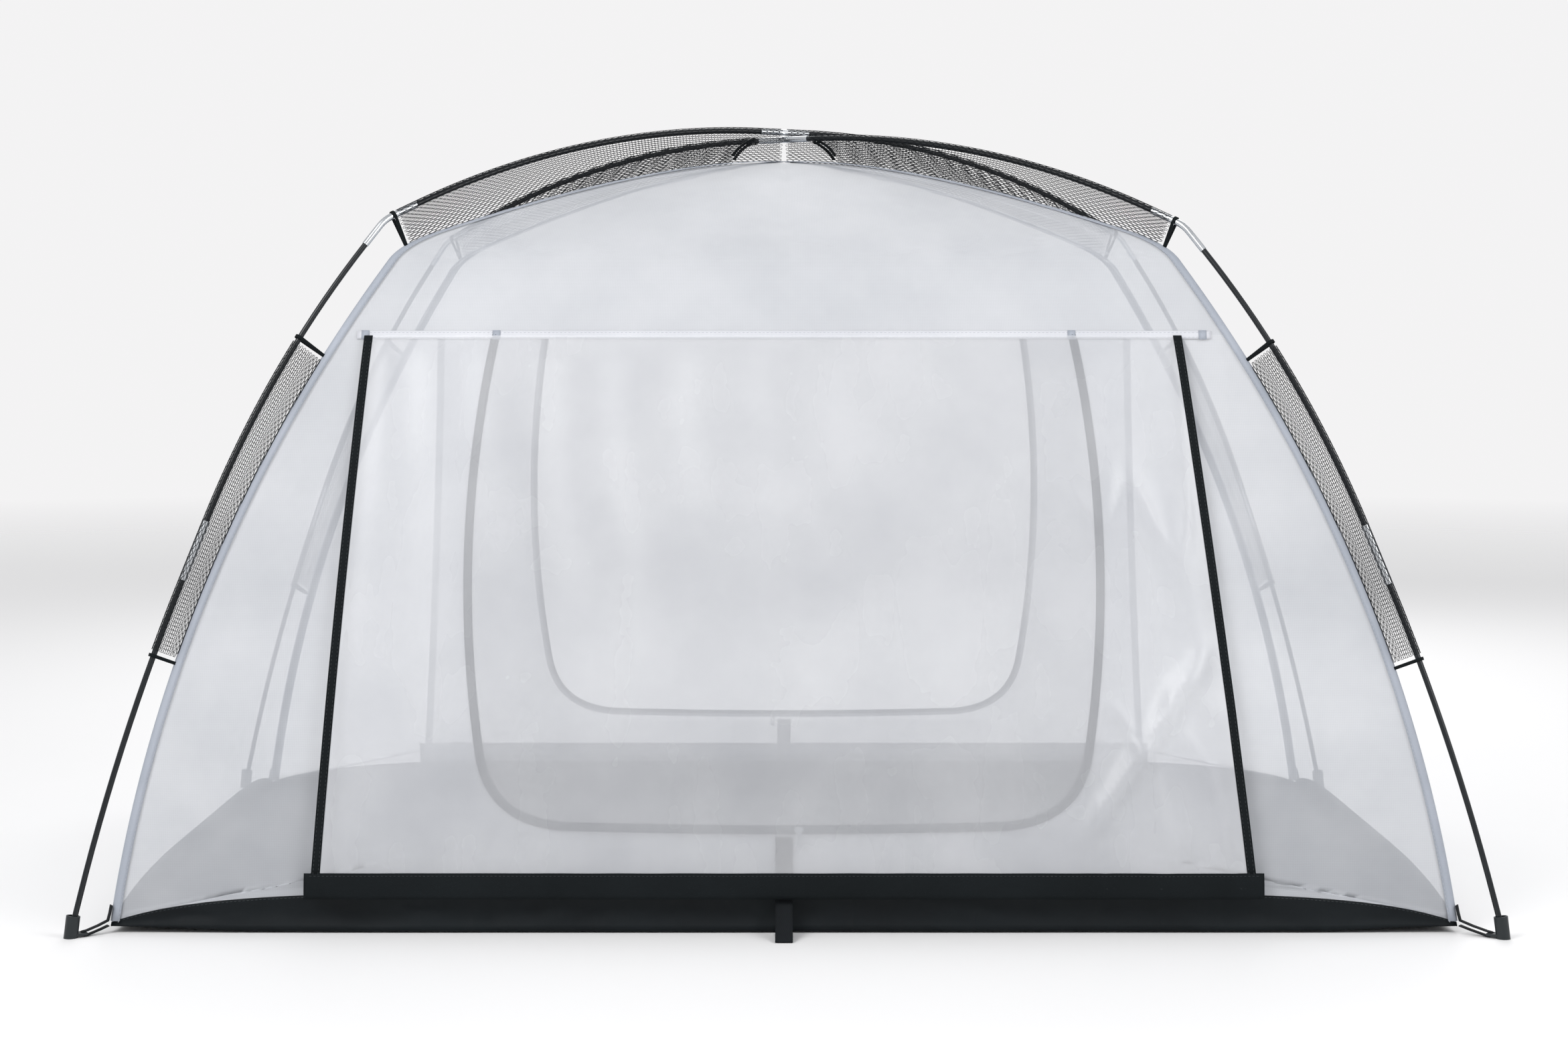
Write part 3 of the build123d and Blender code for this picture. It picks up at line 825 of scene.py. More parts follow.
class PathParts:
    """Geometry Nodes tree that sets small rounded parts along paths."""

    def __init__(self) -> None:
        """Build the tree."""
        self.tree, board, into, out = new_group(
            "parts_along_path", "GeometryNodeTree",
            {
                "Geometry": ("NodeSocketGeometry", None),
                "Spacing": (FLOAT, 0.006),
                "Length": (FLOAT, 0.004),
                "Width": (FLOAT, 0.0008),
                "Height": (FLOAT, 0.0006),
                "Material": ("NodeSocketMaterial", None),
            },
            {"Geometry": "NodeSocketGeometry"},
        )
        line = board.add("GeometryNodeMeshToCurve", {"Mesh": into.outputs["Geometry"]})
        even = board.add(
            "GeometryNodeResampleCurve",
            {"Curve": line.outputs[0], "Length": into.outputs["Spacing"]}, mode="LENGTH",
        )
        lift = board.add(
            "GeometryNodeInputNamedAttribute", {"Name": "lift"}, data_type="FLOAT_VECTOR"
        )
        turn = board.add(
            "FunctionNodeAxesToRotation",
            {0: board.add("GeometryNodeInputTangent").outputs[0], 1: lift.outputs[0]},
            primary_axis="X", secondary_axis="Z",
        )
        size = board.add(
            "ShaderNodeCombineXYZ",
            {0: into.outputs["Length"], 1: into.outputs["Width"], 2: into.outputs["Height"]},
        )
        grain = board.add("GeometryNodeMeshUVSphere", {"Segments": 6, "Rings": 4, "Radius": 0.5})
        placed = board.add(
            "GeometryNodeInstanceOnPoints",
            {
                "Points": even.outputs[0], "Instance": grain.outputs[0],
                "Rotation": turn.outputs[0], "Scale": size.outputs[0],
            },
        )
        end_tree(board, placed, into, out)

    def along(
        self, name: str, paths: Sequence[Path], size: PartSize, finish: HardFinish
    ) -> bpy.types.Object:
        """Set parts along paths.

        Args:
            name: The new piece's name.
            paths: Lines of points, each with the direction that a part stands up in.
            size: The part's size and spacing.
            finish: The part's finish.

        Returns:
            The piece that holds all the parts.
        """
        places = [p for path in paths for p, _ in path]
        lifts = [n for path in paths for _, n in path]
        edges, start = [], 0
        for path in paths:
            edges += [(start + i, start + i + 1) for i in range(len(path) - 1)]
            start += len(path)
        data = bpy.data.meshes.new(name + "_path")
        data.from_pydata(places, edges, [])
        attribute = data.attributes.new("lift", "FLOAT_VECTOR", "POINT")
        attribute.data.foreach_set("vector", [c for n in lifts for c in n])
        values = {
            "Spacing": size.spacing, "Length": size.length, "Width": size.width,
            "Height": size.height, "Material": finish.material(),
        }
        return grown(name, data, self.tree, values)


def grown(
    name: str, data: bpy.types.Mesh, tree: bpy.types.NodeTree, values: dict[str, Any]
) -> bpy.types.Object:
    """Run a Geometry Nodes tree on a mesh and keep the result as a plain piece.

    Args:
        name: The new piece's name.
        data: The mesh that the tree starts from.
        tree: The Geometry Nodes tree.
        values: The tree's inputs by name.

    Returns:
        The new piece.
    """
    source = bpy.data.objects.new(name + "_source", data)
    bpy.context.scene.collection.objects.link(source)
    modifier = source.modifiers.new("grow", "NODES")
    modifier.node_group = tree
    for item in tree.interface.items_tree:
        if item.item_type == "SOCKET" and item.in_out == "INPUT" and item.name in values:
            modifier[item.identifier] = values[item.name]
    return plain_copy(source, name)


class HexNet:
    """Geometry Nodes tree that turns a triangle lattice into a net of hexagon threads."""

    def __init__(self) -> None:
        """Build the tree."""
        self.tree, board, into, out = new_group(
            "hexagon_net", "GeometryNodeTree",
            {
                "Geometry": ("NodeSocketGeometry", None),
                "Thread Radius": (FLOAT, 0.0005),
                "Material": ("NodeSocketMaterial", None),
            },
            {"Geometry": "NodeSocketGeometry"},
        )
        cells = board.add(
            "GeometryNodeDualMesh", {"Mesh": into.outputs["Geometry"], "Keep Boundaries": False}
        )
        lines = board.add("GeometryNodeMeshToCurve", {"Mesh": cells.outputs[0]})
        ring = board.add(
            "GeometryNodeCurvePrimitiveCircle",
            {"Resolution": 3, "Radius": into.outputs["Thread Radius"]},
        )
        threads = board.add(
            "GeometryNodeCurveToMesh", {"Curve": lines.outputs[0], "Profile Curve": ring.outputs[0]}
        )
        end_tree(board, threads, into, out)


PATH_PARTS = PathParts()
HEX_NET = HexNet()
STITCH = PartSize(0.0062, 0.0042, 0.0009, 0.0007)
TOOTH = PartSize(0.0026, 0.0015, 0.0046, 0.0016)


def wall_path(side: Side, flats: Sequence[Flat], offset: float, flare: float = 0.0) -> Path:
    """Lay a flat line of across and height on a side's wall, for parts along it.

    Args:
        side: The side it lies on.
        flats: Points across and up.
        offset: Distance off the wall, outwards.
        flare: Extra distance at the foot.

    Returns:
        Points on the wall, each with the direction that a part stands up in.
    """
    return [
        (on_side(side, x, PROFILE.s_at(z), offset, flare), side.outwards + UP * 0.25)
        for x, z in flats
    ]


# ---------------------------------------------------------------- long sides
@dataclass
class LongSide:
    """The panels, zip and seam tape of the front or the rear."""

    side: Side
    body: str = "tent"
    zip_width: float = 0.013
    tape_offset: float = 0.0009
    tape_thickness: float = 0.0009
    seam_half: float = 0.655
    seam_tape: float = 0.012
    panel_columns: int = 34
    flat_lower: Flat = (2.0, 0.92)
    flat_upper: Flat = (1.40, 0.75)
    area_lower: float = 0.81
    area_upper: float = 0.46

    def __post_init__(self) -> None:
        """Set the folds of this side's cloth."""
        seed = 1.0 if self.side is Side.FRONT else 21.0
        self.drape = Drape(0.003, 0.17, 0.003, 0.005, seed, inwards=True)

    def outer_path(self) -> list[Flat]:
        """Return the panel's outer edge: down a ridge, along the tub and up again.

        Returns:
            Points across and up, one for each of the door outline's.
        """
        leg = DOOR.leg_steps
        turn = DOOR.corner_steps - 1
        half = DOOR.bottom_steps // 2
        points: list[Flat] = []
        heights = [mixed(SEAM, 0.22, f) for f in steps(leg)]
        heights += [mixed(0.22, 0.016, f) for f in steps(turn + 1)[1:]]
        for height in heights:
            points.append((-self.side.span * PROFILE.share_at(height), height))
        corner = points[-1][0]
        for f in steps(half + 1)[1:]:
            across = mixed(corner, 0.0, f)
            points.append((across, tub_edge(self.side, across)))
        return points + [(-x, z) for x, z in reversed(points[:-1])]

    def lower_panel(self) -> bpy.types.Object:
        """Make the panel round the door, down to the tub.

        Returns:
            The net panel.
        """
        rows: Rows = []
        flats: list[list[Flat]] = []
        shares = steps(self.panel_columns)
        for inner, outer in zip(DOOR.path(), self.outer_path()):
            row, flat = [], []
            for f in shares:
                x, z = mixed(inner[0], outer[0], f), mixed(inner[1], outer[1], f)
                hold = eased(f / 0.16) * eased((1 - f) / 0.16) * eased((SEAM - z) / 0.04)
                push = self.drape.push(x, z) * hold
                row.append(on_side(self.side, x, PROFILE.s_at(z), -0.001 + push))
                flat.append((x, z * 1.05))
            rows.append(row)
            flats.append(flat)
        return cloth(f"{self.side.label}_lower_net", [ClothPatch(rows, flats)], SHEER)

    def upper_panel(self) -> bpy.types.Object:
        """Make the panel from the seam to the apex.

        Returns:
            The net panel.
        """
        rows: Rows = []
        low = PROFILE.s_at(SEAM)
        for f in steps(60):
            s = mixed(low, 3.0, f)
            share = PROFILE.at(s)[0]
            row = []
            for v in steps(90):
                across = (2 * v - 1) * self.side.span * share
                hold = eased((1 - abs(2 * v - 1)) / 0.12) * eased(f / 0.06) * eased((1 - f) / 0.15)
                push = self.drape.push(across, 0.9 + 0.5 * f) * hold
                row.append(on_side(self.side, across, s, -0.001 + push))
            rows.append(row)
        return cloth(f"{self.side.label}_roof_net", [ClothPatch(rows, flats_of(rows))], SHEER)

    def zip_tape(self) -> bpy.types.Object:
        """Make the woven tape that carries the zip.

        Returns:
            The tape.
        """
        rows = []
        lines = [DOOR.path(mixed(-0.5, 0.5, f) * self.zip_width) for f in steps(4)]
        for points in zip(*lines):
            rows.append(
                [on_side(self.side, x, PROFILE.s_at(z), self.tape_offset) for x, z in points]
            )
        patch = ClothPatch(rows, flats_of(rows))
        return cloth(f"{self.side.label}_zip_tape", [patch], ZIP_TAPE, self.tape_thickness)

    def seam(self) -> bpy.types.Object:
        """Make the white tape over the cross seam.

        Returns:
            The tape.
        """
        rows = []
        for f in steps(5):
            s = PROFILE.s_at(SEAM + (f - 0.5) * self.seam_tape)
            rows.append(
                [
                    on_side(self.side, mixed(-1, 1, v) * self.seam_half, s, self.tape_offset)
                    for v in steps(120)
                ]
            )
        patch = ClothPatch(rows, flats_of(rows))
        return cloth(f"{self.side.label}_seam_binding", [patch], WHITE_TAPE, 0.0012)

    def tabs(self) -> bpy.types.Object:
        """Make the small grey folds where zip legs and curtain tapes meet the seam.

        Returns:
            The piece that holds all four folds.
        """
        patches = []
        for across in (-0.642, -0.441, 0.441, 0.642):
            rows = []
            for z in (SEAM - 0.007, SEAM, SEAM + 0.007):
                s = PROFILE.s_at(z)
                rows.append(
                    [on_side(self.side, across + d, s, 0.0019) for d in (-0.006, 0.0, 0.006)]
                )
            patches.append(ClothPatch(rows, flats_of(rows)))
        return cloth(f"{self.side.label}_seam_tabs", patches, GREY_TAPE, 0.0007)

    def build(self) -> None:
        """Make and dress this side's fixed pieces."""
        label = self.side.label
        lower = fitted(self.lower_panel(), self.body, f"{label}_lower_panel")
        upper = fitted(self.upper_panel(), self.body, f"{label}_upper_panel")
        tape = fitted(self.zip_tape(), self.body, f"{label}_door_zip")
        seam = fitted(self.seam(), self.body, f"{label}_seam_tape")
        tabs = fitted(self.tabs(), self.body)
        coil = PATH_PARTS.along(
            f"{label}_zip_coil", [wall_path(self.side, DOOR.path(), 0.0016)], TOOTH, ZIP_COIL
        )
        fitted(coil, self.body)
        edges = [
            wall_path(self.side, [(x, SEAM + dz) for x in (-0.64, -0.3, 0.0, 0.3, 0.64)], 0.0016)
            for dz in (-0.0035, 0.0035)
        ]
        sewn = PATH_PARTS.along(f"{label}_seam_stitches", edges, STITCH, PALE_SEWING)
        fitted(sewn, self.body)
        edges = [wall_path(self.side, DOOR.path(g), 0.0014) for g in (-0.0052, 0.0052)]
        zip_sewn = PATH_PARTS.along(f"{label}_zip_stitches", edges, STITCH, ZIP_SEWING)
        fitted(zip_sewn, self.body)
        LOG.info("%s side: two net panels, zip tape, coil, seam", label)


@dataclass
class DoorLeaf:
    """The net leaf inside a long side's zip, which swings on its top edge."""

    side: Side
    gap: float = 0.001
    top: float = 0.882
    flat: Flat = (0.95, 0.76)
    area: float = 0.69

    def build(self) -> None:
        """Make the leaf and let it ride on its door's body."""
        seed = 4.0 if self.side is Side.FRONT else 14.0
        drape = Drape(0.004, 0.15, 0.002, 0.004, seed, inwards=True)
        outline = DOOR.path(-self.gap, self.top)
        half = outline[: (len(outline) + 1) // 2]
        rows: Rows = [self._row(edge, height, drape) for edge, height in half]
        label = self.side.label
        leaf = cloth(f"{label}_door_leaf", [ClothPatch(rows, flats_of(rows))], DOOR_NET)
        fitted(leaf, f"{label}_door", f"{label}_door")
        LOG.info("%s door: one net leaf", label)

    def _row(self, edge: float, height: float, drape: Drape) -> list[Vector]:
        """Return one level row of the leaf, from edge to edge.

        Args:
            edge: The row's left end.
            height: Its height.
            drape: The leaf's folds.

        Returns:
            The row's points.
        """
        row = []
        for v in steps(72):
            across = mixed(edge, -edge, v)
            hold = eased((1 - abs(2 * v - 1)) / 0.12)
            hold *= eased((height - DOOR.bottom) / 0.06) * eased((self.top - height) / 0.04)
            push = drape.push(across, height) * hold
            row.append(on_side(self.side, across, PROFILE.s_at(height), -0.001 + push))
        return row


# ---------------------------------------------------------------- curtains
@dataclass
class Curtain:
    """The satin sheer that hangs over a long side, with its black border."""

    side: Side
    offset: float = 0.0038
    flare: float = 0.012
    top: float = 0.884
    top_half: float = 0.643
    hem_half: float = 0.702
    hem_low: float = 0.053
    hem: float = 0.038
    tape: float = 0.013
    ear: float = 0.008
    flat: Flat = (1.38, 0.81)
    area: float = 1.08
    fold: tuple[Flat, Flat] = ((0.650, 0.445), (0.450, 0.150))
    slip: float = 0.034
    fold_rise: float = 0.016
    fold_width: float = 0.018

    def __post_init__(self) -> None:
        """Set the curtain's folds."""
        seed = 2.0 if self.side is Side.FRONT else 32.0
        self.soft = Drape(0.007, 0.105, 0.0, 0.004, seed)
        self.creased = Drape(0.003, 0.070, 0.010, 0.003, seed + 1.0)

    def edge_at(self, height: float, sign: float) -> float:
        """Return how far the left (-1) or right (1) edge is from the middle at a height.

        Args:
            height: Height on the curtain.
            sign: -1 for the left edge, 1 for the right.

        Returns:
            Signed distance from the middle.
        """
        rise = (height - self.hem_low) / (self.top - self.hem_low)
        slip = self.slip if sign > 0 and self.side is Side.FRONT else 0.0
        return sign * mixed(self.hem_half, self.top_half - slip, rise)

    def push(self, across: float, height: float) -> float:
        """Return how far the cloth stands off its rest line.

        Args:
            across: Distance from the curtain's middle.
            height: Height on the curtain.

        Returns:
            Distance in metres.
        """
        creased = eased((across - 0.38) / 0.16)
        (x0, z0), (x1, z1) = self.fold
        dx, dz = x1 - x0, z1 - z0
        run = ((across - x0) * dx + (height - z0) * dz) / (dx**2 + dz**2)
        aside = ((across - x0) * dz - (height - z0) * dx) / math.hypot(dx, dz)
        fold = self.fold_rise * math.exp(-((aside / self.fold_width) ** 2))
        fold *= eased((run + 0.1) / 0.35) * eased((1.15 - run) / 0.3)
        hang = eased((self.top - height) / 0.05)
        firm = mixed(1.0, 0.35, eased((0.16 - height) / 0.07))
        sign = 1.0 if across > 0 else -1.0
        edge = mixed(0.25, 1.0, eased((abs(self.edge_at(height, sign)) - abs(across)) / 0.05))
        soft = self.soft.push(across, height) * mixed(1.0, 0.5, creased)
        sharp = self.creased.push(across + 0.18 * height, height) * creased
        return (soft + sharp + fold) * hang * firm * edge

    def at(self, across: float, height: float, lift: float = 0.0) -> Vector:
        """Return a point of the hanging cloth."""
        offset = self.offset + lift + self.push(across, height)
        return on_side(self.side, across, PROFILE.s_at(height), offset, self.flare)

    def net(self) -> bpy.types.Object:
        """Make the sheer itself.

        Returns:
            The sheer.
        """
        rows, flats = [], []
        for f in steps(84):
            height = mixed(self.top, self.hem_low + self.hem - 0.004, f)
            inset = self.tape - 0.003
            left, right = self.edge_at(height, -1) + inset, self.edge_at(height, 1) - inset
            places = [mixed(left, right, v) for v in steps(190)]
            rows.append([self.at(x, height) for x in places])
            flats.append([(x, -height * 1.04) for x in places])
        return cloth(f"{self.side.label}_curtain_sheer", [ClothPatch(rows, flats)], CURTAIN_NET)

    def border(self) -> bpy.types.Object:
        """Make the black side tapes and the broad hem.

        Returns:
            The border.
        """
        patches = []
        for sign in (-1.0, 1.0):
            rows = []
            for f in steps(80):
                height = mixed(self.top, self.hem_low + self.hem - 0.001, f)
                edge = self.edge_at(height, sign)
                rows.append(
                    [self.at(edge - sign * self.tape * (1 - v), height, 0.0004) for v in steps(4)]
                )
            patches.append(ClothPatch(rows, flats_of(rows)))
        rows = []
        for f in steps(7):
            height = mixed(self.hem_low + self.hem, self.hem_low, f)
            bulge = 0.0011 * math.sin(math.pi * f)
            half = self.hem_half + self.ear
            rows.append(
                [
                    self.at(mixed(-half, half, v), height, bulge + 0.0003)
                    for v in steps(200)
                ]
            )
        patches.append(ClothPatch(rows, flats_of(rows)))
        return cloth(f"{self.side.label}_curtain_binding", patches, BLACK_TAPE, 0.0012)

    def stitches(self) -> bpy.types.Object:
        """Make the stitch lines of the hem and the side tapes.

        Returns:
            The piece that holds every stitch.
        """
        paths: list[Path] = []
        rise = self.side.outwards + UP * 0.15
        for level in (self.hem_low + self.hem * 0.42, self.hem_low + self.hem - 0.004):
            places = [mixed(-0.70, 0.70, v) for v in steps(200)]
            paths.append([(self.at(x, level, 0.0016), rise) for x in places])
        for sign in (-1.0, 1.0):
            for inset in (0.003, 0.0105):
                heights = [mixed(self.top - 0.01, self.hem_low + self.hem, f) for f in steps(80)]
                places = [(self.edge_at(h, sign) - sign * inset, h) for h in heights]
                paths.append([(self.at(x, h, 0.0011), rise) for x, h in places])
        return PATH_PARTS.along(f"{self.side.label}_curtain_stitches", paths, STITCH, SEWING)

    def build(self) -> None:
        """Make and dress the curtain."""
        label = self.side.label
        body = f"{label}_curtain"
        net = fitted(self.net(), body, f"{label}_curtain_net")
        edge = fitted(self.border(), body, f"{label}_curtain_border")
        sewn = fitted(self.stitches(), body)
        LOG.info("%s curtain: sheer, black border, stitches", label)


# ---------------------------------------------------------------- end walls and floor
@dataclass
class EndWall:
    """The plain net wall at the left or right end."""

    side: Side
    body: str = "tent"
    flat: Flat = (1.30, 1.62)
    area: float = 1.38

    def build(self) -> None:
        """Make and dress the wall."""
        seed = 6.0 if self.side is Side.LEFT else 16.0
        drape = Drape(0.004, 0.19, 0.003, 0.006, seed, inwards=True)
        rows: Rows = [[] for _ in steps(110)]
        for v in steps(64):
            lean = 2 * v - 1
            height = 0.03
            for _ in range(12):
                height = tub_edge(self.side, lean * self.side.span * PROFILE.share_at(height))
            low = PROFILE.s_at(height)
            for i, f in enumerate(steps(110)):
                s = low + (3.0 - low) * f
                share = PROFILE.at(s)[0]
                across = lean * self.side.span * share
                hold = eased((1 - abs(lean)) / 0.12) * eased(f / 0.06) * eased((1 - f) / 0.15)
                push = drape.push(across, f * 1.5) * hold
                rows[i].append(on_side(self.side, across, s, -0.001 + push))
        label = self.side.label
        wall = cloth(f"{label}_net_wall", [ClothPatch(rows, flats_of(rows))], SHEER)
        fitted(wall, self.body, f"{label}_wall")
        LOG.info("%s end wall", label)


@dataclass
class FloorTub:
    """The coated floor with its low turned-up walls."""

    body: str = "tent"
    corner_lift: float = 0.011
    wall_rows: int = 7
    rings: int = 26
    points: int = 90
    thickness: float = 0.0009
    flat: Flat = (2.10, 1.40)
    area: float = 2.86

    def foot(self, side: Side, across: float) -> float:
        """Return the height of the wall's foot, which lifts towards the corners.

        Args:
            side: The side it runs along.
            across: Distance from the side's middle.

        Returns:
            The height in metres.
        """
        lift = eased((abs(across) - (side.span - 0.22)) / 0.22)
        wave = 0.5 + 0.5 * noise.noise(Vector((across * 3.0, 1.7, side.reach * 9)))
        return 0.0016 + self.corner_lift * lift * 0.8 + 0.003 * wave * (1 - lift)

    def build(self) -> None:
        """Make and dress the tub."""
        patches = []
        drape = Drape(0.003, 0.21, 0.004, 0.004, 40.0, inwards=True)
        for side in Side:
            rows: Rows = [[] for _ in range(self.wall_rows + self.rings)]
            for v in steps(self.points):
                lean = 2 * v - 1
                across = lean * side.span
                top, foot = tub_edge(side, across), self.foot(side, across)
                for i, f in enumerate(steps(self.wall_rows)):
                    height = mixed(top, foot, f)
                    s = PROFILE.s_at(height)
                    share = PROFILE.at(s)[0]
                    hold = math.sin(math.pi * f) * eased((1 - abs(lean)) / 0.08)
                    push = drape.push(across * 1.3, height * 5.0 + side.reach) * hold
                    rows[i].append(on_side(side, across * share, s, -0.0008 + push * 1.6))
                rim = rows[self.wall_rows - 1][-1]
                for k in range(self.rings):
                    shrink = 1.0 - (k + 1) / self.rings
                    wave = 0.5 + 0.5 * noise.fractal(
                        Vector((rim.x * shrink * 2.2, rim.y * shrink * 3.4, 5.0)), 1.0, 2.0, 3
                    )
                    ripple = 0.006 * max(0.0, wave) * eased(k / 5)
                    height = 0.0016 + (rim.z - 0.0016) * shrink**6 + ripple * eased(shrink * 8)
                    inner = Vector((rim.x * shrink, rim.y * shrink, height))
                    rows[self.wall_rows + k].append(inner)
            patches.append(ClothPatch(rows, [[(p.x, p.y + p.z) for p in row] for row in rows]))
        tub = cloth("tub_floor", patches, TUB_CLOTH, self.thickness)
        fitted(tub, self.body, "floor_tub")
        sewn_paths = []
        for side in Side:
            shares = [mixed(-0.985, 0.985, v) for v in steps(120)]
            spots = [lean * side.span for lean in shares]
            places = [(x, tub_edge(side, x) - 0.003) for x in spots]
            sewn_paths.append(wall_path(side, places, 0.0002))
        sewn = PATH_PARTS.along("tub_stitches", sewn_paths, STITCH, SEWING)
        fitted(sewn, self.body)
        LOG.info("floor tub and its stitches")


# ---------------------------------------------------------------- poles
@dataclass(frozen=True)
class PoleLine:
    """The centre line of one pole leg, as distance out along the diagonal and height."""

    outwards: Vector
    crossing: float
    roof_flex: float
    top: float = 0.0475
    roof: float = 0.655
    inner: float = 0.045
    bend_radius: float = 0.062
    bend: float = 25.0
    outer: float = 0.038
    middle: float = 0.495
    middle_flex: float = 16.5
    ferrule: float = 0.095
    lower: float = 0.490
    lower_flex: float = 8.5

    def stations(self) -> dict[str, float]:
        """Return the run from the apex to the start of each stretch.

        Returns:
            The run in metres by the name of the stretch.
        """
        lengths = {
            "top": self.top, "roof": self.roof, "inner": self.inner,
            "bend": self.bend_radius * math.radians(self.bend), "outer": self.outer,
            "middle": self.middle, "ferrule": self.ferrule, "lower": self.lower,
        }
        runs, total = {}, 0.0
        for key, length in lengths.items():
            runs[key] = total
            total += length
        runs["toe"] = total
        return runs

    def at(self, run: float) -> tuple[float, float, float]:
        """Return reach, height and downward heading in radians at a run from the apex.

        Args:
            run: Length walked from the apex.

        Returns:
            Reach, height and heading.
        """
        stretches = (
            (self.top, 0.0), (self.roof, self.roof_flex), (self.inner, 0.0),
            (self.bend_radius * math.radians(self.bend), self.bend), (self.outer, 0.0),
            (self.middle, self.middle_flex), (self.ferrule, 0.0), (self.lower, self.lower_flex),
            (1.0, 0.0),
        )
        reach, height, heading = 0.0, self.crossing, 0.0
        for length, turn in stretches:
            walked = min(run, length)
            angle = math.radians(turn) * walked / length
            if turn:
                radius = length / math.radians(turn)
                reach += radius * (math.sin(heading + angle) - math.sin(heading))
                height -= radius * (math.cos(heading) - math.cos(heading + angle))
            else:
                reach += walked * math.cos(heading)
                height -= walked * math.sin(heading)
            heading += angle
            run -= walked
            if run <= 0.0:
                break
        return reach, height, heading

    def point(self, reach: float, height: float, aside: float = 0.0) -> Vector:
        """Return a point from its place in the pole's upright plane."""
        return self.outwards * reach + UP * height + self.outwards.cross(UP) * aside


def pole_lines() -> dict[str, PoleLine]:
    """Return the four pole legs by corner.

    Returns:
        The legs by corner.
    """
    corners = {
        "front_left": (-1.0, -0.65), "rear_right": (1.0, 0.65),
        "front_right": (1.0, -0.65), "rear_left": (-1.0, 0.65),
    }
    lines = {}
    for name, (x, y) in corners.items():
        upper = name in ("front_left", "rear_right")
        outwards = Vector((x, y, 0.0)).normalized()
        lines[name] = PoleLine(outwards, 1.225 if upper else 1.213, 24.5 if upper else 24.0)
    return lines


POLES = pole_lines()


